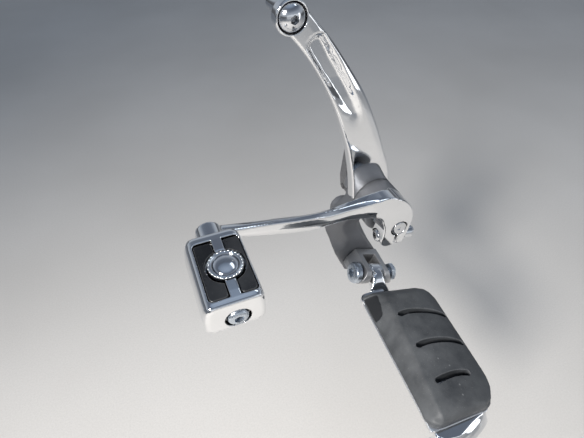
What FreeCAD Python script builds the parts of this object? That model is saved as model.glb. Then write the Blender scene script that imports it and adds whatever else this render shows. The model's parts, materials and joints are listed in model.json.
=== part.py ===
import FreeCAD, Part
import math
import os
import Sketcher
from FreeCAD import Placement, Rotation, Vector

# Left foot control of a cruiser motorcycle: a cast bracket with a bored boss and a
# curved neck, a polished brace above it, a gear-change lever clamped on a cross shaft,
# and a folding rubber-topped footrest.
#
# Frame: +X to the rear of the machine, +Y inboard, +Z up.  The origin is on the flat
# back face of the bracket, midway between its two mounting holes.

os.makedirs("parts", exist_ok=True)
doc = FreeCAD.newDocument("foot_control")

# --------------------------------------------------------------------------------------
# driving dimensions, in mm and degrees
# columns: alias, value, what it is
# --------------------------------------------------------------------------------------
DIMS = [
    # where the three local frames stand in the part's frame
    ("shaft_x", 19.0, "cross shaft axis, rearward of the origin"),
    ("shaft_y", -70.0, "outer face of the lever hub"),
    ("shaft_z", 40.0, "cross shaft axis, above the origin"),
    ("pin_x", 10.5, "middle of the footrest pin"),
    ("pin_y", -57.0, "middle of the footrest pin"),
    ("pin_z", -27.5, "middle of the footrest pin"),
    ("pin_tilt", 18.0, "front end of the pin stands higher"),
    ("rest_yaw", 5.0, "footrest points a little forward"),
    ("pad_tilt", 8.0, "front edge of the tread stands higher"),
    # cross shaft and its bearings
    ("shaft_rad", 7.0, "cross shaft radius"),
    ("shaft_from", -1.5, "outer end of the shaft"),
    ("shaft_to", 88.5, "inner end of the shaft"),
    ("shaft_cham", 1.0, "end chamfer"),
    ("bush_rad", 9.5, "outer radius of the bushes"),
    ("bush_len", 14.0, "length of each bush"),
    ("run_gap", 0.05, "radial running clearance"),
    ("boss_rad", 20.0, "radius of the bracket's boss"),
    ("boss_from", 22.0, "outer face of the boss"),
    ("boss_to", 60.0, "inner face of the boss"),
    ("washer_rad", 13.0, "thrust washer radius"),
    ("washer_thk", 5.6, "thrust washer thickness"),
    # bracket foot
    ("mount_gap", 36.0, "spacing of the two mounting holes"),
    ("mount_hole", 4.25, "radius of the mounting holes, tapped M10"),
    ("mount_deep", 12.0, "depth of the mounting holes"),
    ("foot_wide", 20.0, "width of the mounting pad"),
    ("foot_thk", 14.0, "thickness of the mounting pad"),
    # lever
    ("hub_thk", 16.0, "thickness of the lever's hub"),
    ("slit_wide", 2.4, "width of the clamp slit"),
    ("pinch_x", -1.5, "middle of the clamp screw"),
    ("pinch_y", 9.5, "clamp screw, inboard of the hub face"),
    ("pinch_z", -11.2, "clamp screw, below the shaft axis"),
    ("pinch_rad", 3.0, "clamp screw radius"),
    ("pinch_head", 5.0, "clamp screw head radius"),
    # toe peg
    ("toe_x", -155.8, "toe peg axis, from the shaft"),
    ("toe_z", 54.0, "toe peg axis, above the shaft"),
    ("toe_rad", 8.6, "radius of the lever's toe boss"),
    ("toe_in", 1.5, "inboard end of the toe boss"),
    ("toe_out", -18.0, "outboard end of the toe boss"),
    ("toe_tilt", 3.4, "outer end of the toe peg stands lower"),
    ("peg_wide", 35.0, "toe peg width"),
    ("peg_long", 50.0, "toe peg length"),
    ("peg_low", 44.5, "underside of the toe peg"),
    ("peg_high", 70.5, "top of the toe peg"),
    ("peg_edge", 6.0, "edge radius of the toe peg"),
    ("toe_screw", 4.0, "toe peg screw radius"),
    ("peg_sink", 7.8, "radius of the seat of its screw"),
    ("badge_rad", 10.3, "radius of the round stud on the toe peg"),
    # brace
    ("brace_face", 40.0, "outer face of the brace"),
    ("brace_thk", 9.0, "thickness of the brace"),
    ("saddle_face", 46.5, "outer face of the brace at the boss"),
    ("saddle_back", 54.5, "inner face of the brace at the boss"),
    ("eye_x", -80.0, "upper eye of the brace"),
    ("eye_z", 165.5, "upper eye of the brace"),
    ("eye_out", 11.0, "outer radius of the upper eye"),
    ("eye_bore", 5.45, "bore of the upper eye"),
    ("stud_rad", 5.0, "radius of the upper screw's thread"),
    ("stud_long", 26.0, "length of that thread"),
    ("eye_sink", 9.0, "counterbore of the upper eye"),
    ("eye_deep", 4.0, "depth of that counterbore"),
    ("lug_x", -8.0, "lower screw of the brace"),
    ("lug_z", 31.0, "lower screw of the brace"),
    # inner arm
    ("lug_thk", 6.2, "thickness of the bracket's lug for the brace"),
    ("inner_from", 75.0, "outer face of the inner arm"),
    ("inner_thk", 11.0, "thickness of the inner arm"),
    ("inner_long", 44.0, "shaft to rod hole"),
    ("inner_hub", 12.2, "radius of its hub"),
    ("rod_eye", 4.1, "radius of the rod hole"),
    # clevis and pin
    ("ear_rad", 10.5, "radius of the clevis ears"),
    ("slot_wide", 14.0, "width of the clevis slot"),
    ("slot_deep", 13.0, "slot floor, inboard of the pin"),
    ("clevis_back", 24.0, "back face of the clevis, inboard of the pin"),
    ("clevis_half", 17.5, "half width at the pin"),
    ("clevis_top", 12.0, "half width at the top"),
    ("pivot_rad", 5.0, "pin radius"),
    ("pivot_head", 9.7, "radius of the pin's head"),
    ("tongue_wide", 12.0, "width of the footrest's tongue"),
    ("tongue_rad", 9.0, "radius of the tongue's end"),
    # footrest
    ("tray_top", -5.0, "top of the tray"),
    ("tray_thk", 2.5, "tray thickness"),
    ("pad_high", 11.0, "highest point of the tread"),
    ("beam_half", 9.0, "half width of the beam under the tray"),
    ("beam_low", -15.0, "underside of the beam"),
]

sheet = doc.addObject("Spreadsheet::Sheet", "dims")
for number, (alias, value, what) in enumerate(DIMS, start=1):
    sheet.set("A%d" % number, alias)
    sheet.set("B%d" % number, str(value))
    sheet.set("C%d" % number, what)
    sheet.setAlias("B%d" % number, alias)
doc.recompute()


def dim(alias):
    """Value of one driving dimension."""
    return float(sheet.get(alias))


# --------------------------------------------------------------------------------------
# the local frames
# --------------------------------------------------------------------------------------
# shaft: origin on the cross shaft's axis at the hub's outer face, axes as the part's
# pin:   origin at the middle of the footrest's pin, X along the pin to the rear,
#        -Y out along the footrest, Z up through the clevis
# tread: as pin, with the tread's own smaller tilt
# toe:   as shaft, turned about the toe peg's axis where it leaves the lever
TILT = {"shaft": None, "toe": None, "pin": "pin_tilt", "tread": "pad_tilt"}


def placement(frame):
    """Placement of a local frame in the part's frame."""
    if frame == "shaft":
        return Placement(Vector(dim("shaft_x"), dim("shaft_y"), dim("shaft_z")), Rotation())
    if frame == "toe":
        lean = Rotation(Vector(1, 0, 0), dim("toe_tilt"))
        pivot = Vector(dim("toe_x"), -8.0, dim("toe_z"))
        return placement("shaft").multiply(Placement(pivot, Rotation())).multiply(
            Placement(Vector(), lean)).multiply(Placement(pivot.negative(), Rotation()))
    turn = Rotation(Vector(0, 0, 1), -dim("rest_yaw")).multiply(
        Rotation(Vector(0, 1, 0), dim(TILT[frame])))
    return Placement(Vector(dim("pin_x"), dim("pin_y"), dim("pin_z")), turn)


def put(obj, frame):
    """Stand an object in one of the local frames, its place bound to the sheet."""
    obj.Placement = placement(frame)
    if frame == "toe":
        return
    name = "shaft" if frame == "shaft" else "pin"
    for axis in "xyz":
        obj.setExpression("Placement.Base." + axis, "dims.%s_%s" % (name, axis))


# --------------------------------------------------------------------------------------
# helpers
# --------------------------------------------------------------------------------------
def new_body(label, frame):
    """An empty body with its own label."""
    body = doc.addObject("PartDesign::Body", label)
    body.Label = label
    put(body, frame)
    return body


def plane_of(body, role):
    """One of the body's own origin planes."""
    return [item for item in body.Origin.OriginFeatures if item.Role == role][0]


def new_sketch(body, name, role, offset=0.0):
    """A sketch on an origin plane of its body, moved along that plane's normal."""
    sketch = body.newObject("Sketcher::SketchObject", name)
    sketch.AttachmentSupport = [(plane_of(body, role), "")]
    sketch.MapMode = "FlatFace"
    sketch.AttachmentOffset = Placement(Vector(0, 0, offset), Rotation())
    return sketch


def arc_through(a, b, c):
    """Arc of a circle from a through b to c."""
    return Part.Arc(Vector(a[0], a[1], 0), Vector(b[0], b[1], 0), Vector(c[0], c[1], 0))


def draw(sketch, start, moves):
    """Closed outline in a sketch.  Each move is (x, y) for a line to that point or
    (mx, my, x, y) for an arc through (mx, my) to (x, y)."""
    here = start
    first = sketch.GeometryCount
    ends = []
    for move in moves:
        there = (move[-2], move[-1])
        if len(move) == 2:
            index = sketch.addGeometry(Part.LineSegment(
                Vector(here[0], here[1], 0), Vector(there[0], there[1], 0)), False)
            ends.append((index, 1, 2))
        else:
            arc = arc_through(here, (move[0], move[1]), there)
            edge = arc.toShape()
            index = sketch.addGeometry(arc, False)
            p1 = sketch.getPoint(index, 1)
            near = math.hypot(p1.x - here[0], p1.y - here[1]) < 1e-6
            ends.append((index, 1, 2) if near else (index, 2, 1))
        here = there
    count = len(ends)
    for k in range(count):
        a, b = ends[k], ends[(k + 1) % count]
        sketch.addConstraint(Sketcher.Constraint("Coincident", a[0], a[2], b[0], b[1]))
    for k in range(first, sketch.GeometryCount):
        sketch.addConstraint(Sketcher.Constraint("Block", k))


def round_in(sketch, x, y, radius, gap=0.0):
    """A circle whose radius is bound to a cell, with a clearance if it is a hole."""
    size = dim(radius) + gap
    index = sketch.addGeometry(Part.Circle(Vector(x, y, 0), Vector(0, 0, 1), size), False)
    number = sketch.addConstraint(Sketcher.Constraint("Radius", index, size))
    sketch.renameConstraint(number, "rad%d" % index)
    sketch.setExpression("Constraints.rad%d" % index, "dims.%s + %g" % (radius, gap))


def pad(body, sketch, name, length, backwards=False):
    """Pad a sketch by a length that is an expression over the sheet."""
    feature = body.newObject("PartDesign::Pad", name)
    feature.Profile = sketch
    feature.Reversed = backwards
    feature.setExpression("Length", length)
    doc.recompute()
    return feature


def pocket(body, sketch, name, length, backwards=False):
    """Pocket a sketch, and insist that it takes something away."""
    before = body.Shape.Volume
    feature = body.newObject("PartDesign::Pocket", name)
    feature.Profile = sketch
    feature.Reversed = backwards
    feature.setExpression("Length", length)
    doc.recompute()
    if not body.Shape.Volume < before - 0.5:
        raise RuntimeError("pocket %s cut nothing: %s %s %s %s" % (
            name, feature.State, before, body.Shape.Volume, sketch.Shape.BoundBox))
    return feature


def turned(label, frame, profile, place=None):
    """A turned piece about its local Y axis.  profile lists (radius, y) corners as
    expressions over the sheet, from the axis out and back to the axis."""
    body = new_body(label, frame)
    sketch = new_sketch(body, label + "_profile", "XY_Plane")
    points = [(value_of(r), value_of(y)) for r, y in profile]
    count = len(points)
    for k in range(count):
        a, b = points[k], points[(k + 1) % count]
        sketch.addGeometry(Part.LineSegment(Vector(a[0], a[1], 0), Vector(b[0], b[1], 0)), False)
    for k in range(count):
        sketch.addConstraint(Sketcher.Constraint("Coincident", k, 2, (k + 1) % count, 1))
    for k, (r, y) in enumerate(profile):
        for kind, text, value in (("DistanceX", r, points[k][0]), ("DistanceY", y, points[k][1])):
            if abs(value) < 1e-9:
                line = -2 if kind == "DistanceX" else -1
                sketch.addConstraint(Sketcher.Constraint("PointOnObject", k, 1, line))
                continue
            number = sketch.addConstraint(Sketcher.Constraint(kind, -1, 1, k, 1, value))
            sketch.renameConstraint(number, "%s%d" % (kind[-1].lower(), k))
            sketch.setExpression("Constraints.%s%d" % (kind[-1].lower(), k), expression(text))
    turn = body.newObject("PartDesign::Revolution", label + "_turn")
    turn.Profile = sketch
    turn.ReferenceAxis = (sketch, ["V_Axis"])
    turn.Angle = 360.0
    doc.recompute()
    if place is not None:
        body.setExpression("Placement.Base.x", None)
        body.setExpression("Placement.Base.y", None)
        body.setExpression("Placement.Base.z", None)
        body.Placement = placement(frame).multiply(place)
    return body


WORDS = sorted([alias for alias, value, what in DIMS], key=len, reverse=True)


def expression(text):
    """Turn a formula over aliases into one over the sheet's cells."""
    out, word = "", ""
    for char in str(text) + " ":
        if char.isalnum() or char in "_.":
            word += char
            continue
        out += "dims." + word if word in WORDS else word
        word = ""
        out += char
    return out.strip()


def value_of(text):
    """Value of a formula over aliases: sums and differences of cells and numbers."""
    total, sign, word = 0.0, 1.0, ""
    for char in str(text).replace(" ", "") + "+":
        if char in "+-":
            if word:
                total += sign * (dim(word) if word in WORDS else float(word))
                word, sign = "", 1.0
            if char == "-":
                sign = -sign
            continue
        word += char
    return total


def feature(label, shape, frame):
    """A sub-part whose shape is made with Part's own functions."""
    obj = doc.addObject("Part::Feature", label)
    obj.Label = label
    obj.Shape = shape
    put(obj, frame)
    return obj


def rod(name, frame, radius, start, length, at=(0.0, 0.0)):
    """A cylinder along local Y, its radius and length bound to the sheet."""
    obj = doc.addObject("Part::Cylinder", name)
    obj.setExpression("Radius", expression(radius))
    obj.setExpression("Height", expression(length))
    obj.Placement = placement(frame).multiply(Placement(
        Vector(at[0], value_of(start), at[1]), Rotation(Vector(1, 0, 0), -90)))
    doc.recompute()
    return obj


def solid_of(start, moves, low, high, axes="xz"):
    """Extrude an outline of lines and arcs.  axes "xz": outline in X and Z, from
    Y = low to Y = high.  axes "xy": outline in X and Y, from Z = low to Z = high."""
    def point(x, y):
        return Vector(x, low, y) if axes == "xz" else Vector(x, y, low)
    edges, here = [], start
    for move in moves:
        there = (move[-2], move[-1])
        if len(move) == 2:
            edges.append(Part.LineSegment(point(*here), point(*there)).toShape())
        else:
            edges.append(Part.Arc(point(*here), point(move[0], move[1]), point(*there)).toShape())
        here = there
    face = Part.Face(Part.Wire(edges))
    way = Vector(0, high - low, 0) if axes == "xz" else Vector(0, 0, high - low)
    solid = face.extrude(way)
    if solid.Volume < 0:
        solid.reverse()
    return solid


# --------------------------------------------------------------------------------------
# cross shaft, bushes and washer
# --------------------------------------------------------------------------------------
shift_shaft = turned("shift_shaft", "shaft", [
    ("0", "shaft_from"), ("shaft_rad - shaft_cham", "shaft_from"),
    ("shaft_rad", "shaft_from + shaft_cham"), ("shaft_rad", "shaft_to - shaft_cham"),
    ("shaft_rad - shaft_cham", "shaft_to"), ("0", "shaft_to")])

# columns: label, from, to
for label, start, stop in (
        ("shaft_bush_outer", "boss_from", "boss_from + bush_len"),
        ("shaft_bush_inner", "boss_to - bush_len", "boss_to")):
    turned(label, "shaft", [
        ("shaft_rad + run_gap", start), ("bush_rad", start),
        ("bush_rad", stop), ("shaft_rad + run_gap", stop)])

turned("thrust_washer", "shaft", [
    ("shaft_rad + run_gap", "hub_thk + 0.05"), ("washer_rad", "hub_thk + 0.05"),
    ("washer_rad", "hub_thk + washer_thk"), ("shaft_rad + run_gap", "hub_thk + washer_thk")])

# --------------------------------------------------------------------------------------
# gear-change lever: clamp hub, arm, toe boss
# --------------------------------------------------------------------------------------
lever_hub = new_body("lever_hub", "shaft")
hub_sketch = new_sketch(lever_hub, "hub_outline", "XZ_Plane")
draw(hub_sketch, (-26.0, 40.3), [
    (-15.0, 39.5, -6.0, 34.0), (6.0, 24.0, 12.0, 8.0), (14.0, -9.0, 5.0, -17.0),
    (-4.0, -18.0), (-12.0, -17.0, -15.5, -8.0), (-14.5, 2.0, -17.0, 10.5),
    (-20.0, 17.0, -26.0, 20.5), (-26.0, 40.3)])
round_in(hub_sketch, 0.0, 0.0, "shaft_rad", 0.02)
pad(lever_hub, hub_sketch, "hub_pad", "dims.hub_thk", backwards=True)

# the hub is thinner where the arm leaves it
relief_sketch = new_sketch(lever_hub, "hub_relief", "XY_Plane", offset=50.0)
draw(relief_sketch, (-40.0, 11.8), [(-12.0, 11.8), (-6.0, 17.0), (-40.0, 17.0), (-40.0, 11.8)])
pocket(lever_hub, relief_sketch, "relief", "38.5")

slit_sketch = new_sketch(lever_hub, "slit_outline", "XZ_Plane", offset=1.0)
half = dim("slit_wide") / 2.0
draw(slit_sketch, (-half, -4.0), [(half, -4.0), (half, -30.0), (-half, -30.0), (-half, -4.0)])
pocket(lever_hub, slit_sketch, "slit", "dims.hub_thk + 2")

pinch_sketch = new_sketch(lever_hub, "pinch_hole", "YZ_Plane", offset=-40.0)
round_in(pinch_sketch, dim("pinch_y"), dim("pinch_z"), "pinch_rad", 0.05)
pocket(lever_hub, pinch_sketch, "pinch_bore", "80", backwards=True)

sink_sketch = new_sketch(lever_hub, "pinch_sink", "YZ_Plane", offset=-40.0)
round_in(sink_sketch, dim("pinch_y"), dim("pinch_z"), "pinch_head")
pocket(lever_hub, sink_sketch, "pinch_seat", "33", backwards=True)

# sections of the arm, from inside the toe boss to inside the hub
# columns: x, outboard y, inboard y, low z, high z
LEVER_ROWS = [
    (-152.0, -6.5, 1.4, 49.5, 58.5),
    (-135.5, -5.0, 3.0, 45.2, 54.0),
    (-111.0, -3.2, 4.9, 36.6, 47.6),
    (-84.0, -1.0, 7.0, 27.8, 40.9),
    (-62.0, 0.8, 8.7, 25.6, 37.8),
    (-40.0, 2.4, 10.4, 23.2, 37.8),
    (-19.0, 2.6, 11.6, 19.2, 38.2),
]
lever_arm = feature("lever_arm", Part.makeLoft([Part.makePolygon([Vector(x, y, z) for y, z in (
    (out + 1.5, low), (out, low + 1.5), (out, high - 1.8), (out + 1.5, high),
    (back, high - 0.6), (back, low + 0.6), (out + 1.5, low))])
    for x, out, back, low, high in LEVER_ROWS], True, True), "shaft")
toe_boss = rod("toe_boss", "toe", "toe_rad", "toe_out", "toe_in - toe_out",
               at=(dim("toe_x"), dim("toe_z")))
lever_body = doc.addObject("Part::MultiFuse", "lever_body")
lever_body.Shapes = [lever_hub, lever_arm, toe_boss]
toe_bore = rod("toe_bore", "toe", "toe_screw + 0.05", "toe_out - 1.0", "toe_in - toe_out + 2.0",
               at=(dim("toe_x"), dim("toe_z")))
shift_lever = doc.addObject("Part::Cut", "shift_lever")
shift_lever.Label = "shift_lever"
shift_lever.Base = lever_body
shift_lever.Tool = toe_bore
doc.recompute()

turned("lever_pinch_bolt", "shaft", [
    ("0", "-7.0 - 5.6"), ("pinch_head - 0.7", "-7.0 - 5.6"), ("pinch_head - 0.2", "-7.0 - 5.0"),
    ("pinch_head - 0.2", "-7.0"), ("pinch_rad", "-7.0"), ("pinch_rad", "16.0"), ("0", "16.0")],
    Placement(Vector(0, dim("pinch_y"), dim("pinch_z")), Rotation(Vector(0, 0, 1), -90)))

# --------------------------------------------------------------------------------------
# toe peg
# --------------------------------------------------------------------------------------
toe_left = dim("toe_x") - dim("peg_wide") / 2.0
toe_right = dim("toe_x") + dim("peg_wide") / 2.0
toe_peg_cover = new_body("toe_peg_cover", "toe")
cover_sketch = new_sketch(toe_peg_cover, "cover_outline", "XZ_Plane", offset=-dim("toe_out"))
mid = dim("toe_x")
low_z, high_z, edge_r = dim("peg_low"), dim("peg_high"), dim("peg_edge")
cut_in = edge_r * (1.0 - math.sqrt(0.5))
draw(cover_sketch, (toe_left, low_z + edge_r), [
    (toe_left, high_z - edge_r),
    (toe_left + cut_in, high_z - cut_in, toe_left + edge_r, high_z),
    (mid, high_z + 0.4, toe_right - edge_r, high_z),
    (toe_right - cut_in, high_z - cut_in, toe_right, high_z - edge_r),
    (toe_right, low_z + edge_r),
    (toe_right - cut_in, low_z + cut_in, toe_right - edge_r, low_z),
    (mid, low_z - 1.5, toe_left + edge_r, low_z),
    (toe_left + cut_in, low_z + cut_in, toe_left, low_z + edge_r)])
pad(toe_peg_cover, cover_sketch, "cover_pad", "dims.peg_long", backwards=False)
panel_sketch = new_sketch(toe_peg_cover, "panel_outline", "XY_Plane", offset=dim("peg_high") + 5.0)
out_y = dim("toe_out") - 4.0
in_y = dim("toe_out") - dim("peg_long") + 5.0
draw(panel_sketch, (toe_left + 5.1, out_y), [
    (toe_right - 4.3, out_y), (toe_right - 4.3, in_y), (toe_left + 5.1, in_y), (toe_left + 5.1, out_y)])
pocket(toe_peg_cover, panel_sketch, "panel", "7.5")
screw_sketch = new_sketch(toe_peg_cover, "screw_hole", "XZ_Plane", offset=0.0)
round_in(screw_sketch, mid, dim("toe_z"), "toe_screw", 0.05)
pocket(toe_peg_cover, screw_sketch, "screw_bore", "90", backwards=True)
seat_sketch = new_sketch(toe_peg_cover, "screw_seat", "XZ_Plane",
                         offset=-dim("toe_out") + dim("peg_long") + 1.0)
round_in(seat_sketch, mid, dim("toe_z"), "peg_sink")
pocket(toe_peg_cover, seat_sketch, "seat", "4")

panel_floor = dim("peg_high") - 2.5
spine = 2.2
# columns: name, side (-1 front, 1 rear)
strips = []
for side in (-1.0, 1.0):
    inner = mid + side * spine
    outer = mid + side * (dim("peg_wide") / 2.0 - 5.5) + (0.6 if side > 0 else 0.0)
    strip = solid_of((inner, out_y - 0.6), [
        (outer, out_y - 0.6), (outer, in_y + 0.6), (inner, in_y + 0.6), (inner, out_y - 0.6)],
        panel_floor, panel_floor + 3.0, "xy")
    gap = Part.makeCylinder(dim("badge_rad") + 0.6, 12.0,
                            Vector(mid, (out_y + in_y) / 2.0, panel_floor - 2.0), Vector(0, 0, 1))
    strips.append(strip.cut(gap))
feature("toe_peg_treads", Part.makeCompound(strips), "toe")
feature("toe_peg_stud", Part.makeCylinder(
    dim("badge_rad"), 4.2, Vector(mid, (out_y + in_y) / 2.0, panel_floor), Vector(0, 0, 1)), "toe")

turned("toe_peg_screw", "toe", [
    ("0", "toe_out - peg_long - 0.8"), ("3.2", "toe_out - peg_long - 0.8"),
    ("5.3", "toe_out - peg_long + 0.8"), ("5.3", "toe_out - peg_long + 3.0"),
    ("toe_screw", "toe_out - peg_long + 3.0"), ("toe_screw", "toe_in + 3.0"),
    ("0", "toe_in + 3.0")],
    Placement(Vector(dim("toe_x"), 0, dim("toe_z")), Rotation()))

# --------------------------------------------------------------------------------------
# brace
# --------------------------------------------------------------------------------------
face_y = dim("brace_face")
# sections of the brace, from the upper eye down to the saddle on the boss
# columns: left x, left z, right x, right z, outer y, inner y
BRACE_ROWS = [
    (-87.0, 160.5, -72.5, 172.0, 40.0, 49.0),
    (-79.0, 152.0, -63.5, 161.5, 40.0, 49.0),
    (-71.5, 142.5, -56.0, 152.5, 40.0, 49.0),
    (-59.4, 124.0, -43.5, 136.0, 40.0, 49.0),
    (-46.4, 97.8, -23.0, 105.0, 40.0, 49.0),
    (-38.1, 75.9, -11.8, 82.0, 40.0, 49.5),
    (-33.0, 60.9, -4.8, 66.5, 40.3, 50.0),
    (-28.7, 45.0, 1.5, 50.5, 42.0, 51.5),
    (-24.0, 24.5, 8.8, 34.0, 45.0, 53.5),
    (-21.0, 2.5, 14.0, 16.0, 46.8, 54.5),
]
brace_loft = feature("brace_loft", Part.makeLoft([Part.makePolygon([Vector(x, y, z) for x, y, z in (
    (xa, out + 1.2, za), (0.94 * xa + 0.06 * xb, out, 0.94 * za + 0.06 * zb),
    (0.06 * xa + 0.94 * xb, out, 0.06 * za + 0.94 * zb), (xb, out + 1.2, zb),
    (xb, back, zb), (xa, back, za), (xa, out + 1.2, za))])
    for xa, za, xb, zb, out, back in BRACE_ROWS], True, True), "shaft")
brace_eye = rod("brace_eye", "shaft", "eye_out", "brace_face", "brace_thk",
                at=(dim("eye_x"), dim("eye_z")))
brace_body = doc.addObject("Part::MultiFuse", "brace_body")
brace_body.Shapes = [brace_loft, brace_eye]
scoop_tool = feature("scoop_tool", solid_of((-66.5, 141.0), [
    (-70.0, 151.0, -62.0, 154.5), (-53.5, 145.0, -45.0, 133.0), (-38.5, 122.0, -33.5, 112.0),
    (-27.0, 101.0), (-21.5, 88.0), (-24.0, 77.5, -32.0, 79.0), (-39.0, 90.0),
    (-47.0, 105.5, -55.5, 121.0), (-66.5, 141.0)],
    face_y - 1.0, face_y + 3.5), "shaft")
brace_tools = doc.addObject("Part::MultiFuse", "brace_tools")
brace_tools.Shapes = [
    scoop_tool,
    rod("boss_seat", "shaft", "boss_rad + 0.1", "0", "80"),
    rod("eye_through", "shaft", "eye_bore", "0", "80", at=(dim("eye_x"), dim("eye_z"))),
    rod("eye_counterbore", "shaft", "eye_sink", "0", "brace_face + eye_deep",
        at=(dim("eye_x"), dim("eye_z"))),
    rod("lug_bore", "shaft", "pinch_rad + 0.05", "saddle_back - 6.5", "9.0",
        at=(dim("lug_x"), dim("lug_z"))),
]
support_arm = doc.addObject("Part::Cut", "support_arm")
support_arm.Label = "support_arm"
support_arm.Base = brace_body
support_arm.Tool = brace_tools
doc.recompute()

turned("support_arm_bolt", "shaft", [
    ("0", "brace_face + eye_deep - 6.4"), ("4.0", "brace_face + eye_deep - 6.0"),
    ("7.0", "brace_face + eye_deep - 3.6"), ("8.0", "brace_face + eye_deep - 1.0"),
    ("8.0", "brace_face + eye_deep"), ("eye_bore - 0.05", "brace_face + eye_deep"),
    ("eye_bore - 0.05", "brace_face + brace_thk"), ("stud_rad", "brace_face + brace_thk"),
    ("stud_rad", "brace_face + brace_thk + stud_long"),
    ("0", "brace_face + brace_thk + stud_long")],
    Placement(Vector(dim("eye_x"), 0, dim("eye_z")), Rotation()))

turned("brace_lower_screw", "shaft", [
    ("0", "saddle_back + 0.3 + lug_thk + 4.4"), ("4.3", "saddle_back + 0.3 + lug_thk + 4.4"),
    ("5.0", "saddle_back + 0.3 + lug_thk + 3.7"), ("5.0", "saddle_back + 0.3 + lug_thk"),
    ("pinch_rad", "saddle_back + 0.3 + lug_thk"),
    ("pinch_rad", "saddle_back - 6.0"), ("0", "saddle_back - 6.0")],
    Placement(Vector(dim("lug_x"), 0, dim("lug_z")), Rotation()))

# --------------------------------------------------------------------------------------
# bracket: boss, curved neck, mounting pad, lug for the brace
# --------------------------------------------------------------------------------------
def to_shaft(frame, x, y, z):
    """A point of another local frame, in the shaft's frame."""
    return placement("shaft").inverse().multVec(placement(frame).multVec(Vector(x, y, z)))


end_y = dim("clevis_back")
# sections of the neck, each from the front lower corner round over the top:
# front-low, ridge, rear-high, rear, back, back-low
neck_rows = [
    # at the boss
    [Vector(-20, 38, 1.5), Vector(-16, 31, 1.5), Vector(7, 30, 1.5),
     Vector(11, 44, 1.5), Vector(7, 58, 1.5), Vector(-17, 58, 1.5)],
    # below the lever
    [Vector(-43.5, 45.5, -24), Vector(-30.0, 40.5, -23), Vector(-15.5, 38.5, -22),
     Vector(-8, 50, -24), Vector(-12, 63, -26), Vector(-35, 61, -27)],
    # round the bend
    [Vector(-39.5, 42, -43), Vector(-25.8, 39, -34), Vector(-8.5, 37.5, -39),
     Vector(-1, 46, -48), Vector(-5, 60, -57), Vector(-30, 57, -57)],
    # at the clevis
    [to_shaft("pin", x, end_y, z) for x, z in (
        (-31.0, 0.0), (-21.0, 16.5), (0.5, 15.0), (13.0, 6.0), (12.0, -19.0), (-11.0, -22.0))],
]
neck = Part.makeLoft([Part.makePolygon(row + [row[0]]) for row in neck_rows], True, True)
neck_solid = doc.addObject("Part::Feature", "neck_solid")
neck_solid.Shape = neck
put(neck_solid, "shaft")

boss_solid = rod("boss_solid", "shaft", "boss_rad", "boss_from", "boss_to - boss_from")
to_origin = Vector(-dim("shaft_x"), -dim("shaft_y"), -dim("shaft_z"))
pad_half, pad_tall = dim("foot_wide") / 2.0, dim("mount_gap") / 2.0
foot_shape = solid_of(
    (-pad_half, -pad_tall), [(0.0, -pad_tall - pad_half, pad_half, -pad_tall), (pad_half, pad_tall),
                             (0.0, pad_tall + pad_half, -pad_half, pad_tall), (-pad_half, -pad_tall)],
    -dim("foot_thk"), 0.0)
foot_shape.transformShape(Placement(to_origin, Rotation()).toMatrix(), True)
foot_solid = doc.addObject("Part::Feature", "foot_solid")
foot_solid.Shape = foot_shape
put(foot_solid, "shaft")

lug_y = dim("saddle_back") + 0.3
lug_shape = solid_of((-22.0, 8.0), [
    (-17.5, 33.0), (-8.0, 41.0, 1.5, 33.0), (16.0, 8.0), (-22.0, 8.0)], lug_y, lug_y + dim("lug_thk"))
lug_solid = doc.addObject("Part::Feature", "lug_solid")
lug_solid.Shape = lug_shape
put(lug_solid, "shaft")

bracket_body = doc.addObject("Part::MultiFuse", "bracket_body")
bracket_body.Shapes = [neck_solid, boss_solid, foot_solid, lug_solid]

tools = [
    rod("bush_hole", "shaft", "bush_rad + 0.03", "boss_from - 1.0", "boss_to - boss_from + 12.0"),
    rod("clevis_screw_hole", "pin", "pivot_rad + 0.2", "clevis_back - 2.0", "60.0"),
    rod("clevis_head_hole", "pin", "pivot_head - 1.0", "clevis_back + 14.0", "60.0"),
    rod("brace_screw_hole", "shaft", "pinch_rad + 0.05", "boss_from", "60.0",
        at=(dim("lug_x"), dim("lug_z"))),
]
# columns: name, side of the mount's middle along Z
for name, side in (("mount_hole_low", -1.0), ("mount_hole_high", 1.0)):
    tools.append(rod(name, "shaft", "mount_hole", "0 - shaft_y - mount_deep", "mount_deep + 1.0",
                     at=(-dim("shaft_x"), -dim("shaft_z") + side * dim("mount_gap") / 2.0)))
bracket_tools = doc.addObject("Part::MultiFuse", "bracket_tools")
bracket_tools.Shapes = tools
peg_bracket = doc.addObject("Part::Cut", "peg_bracket")
peg_bracket.Label = "peg_bracket"
peg_bracket.Base = bracket_body
peg_bracket.Tool = bracket_tools
doc.recompute()

# --------------------------------------------------------------------------------------
# inner arm for the shift rod
# --------------------------------------------------------------------------------------
inner_arm = new_body("inner_arm", "shaft")
inner_sketch = new_sketch(inner_arm, "inner_outline", "XZ_Plane",
                          offset=-dim("inner_from") - dim("inner_thk"))
reach, hub_rad, tip_rad = dim("inner_long"), dim("inner_hub"), 9.0
draw(inner_sketch, (-hub_rad, 0.0), [
    (-tip_rad, reach), (0.0, reach + tip_rad, tip_rad, reach), (hub_rad, 0.0),
    (10.5, -14.0), (0.0, -18.0, -10.5, -14.0), (-hub_rad, 0.0)])
round_in(inner_sketch, 0.0, 0.0, "shaft_rad", 0.02)
round_in(inner_sketch, 0.0, reach, "rod_eye")
pad(inner_arm, inner_sketch, "inner_pad", "dims.inner_thk", backwards=False)
thin_sketch = new_sketch(inner_arm, "thin_outline", "YZ_Plane", offset=-30.0)
draw(thin_sketch, (70.0, 70.0), [
    (dim("inner_from") + 4.0, 70.0), (dim("inner_from") + 4.0, 16.0), (70.0, 16.0), (70.0, 70.0)])
pocket(inner_arm, thin_sketch, "thin", "60", backwards=True)
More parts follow.
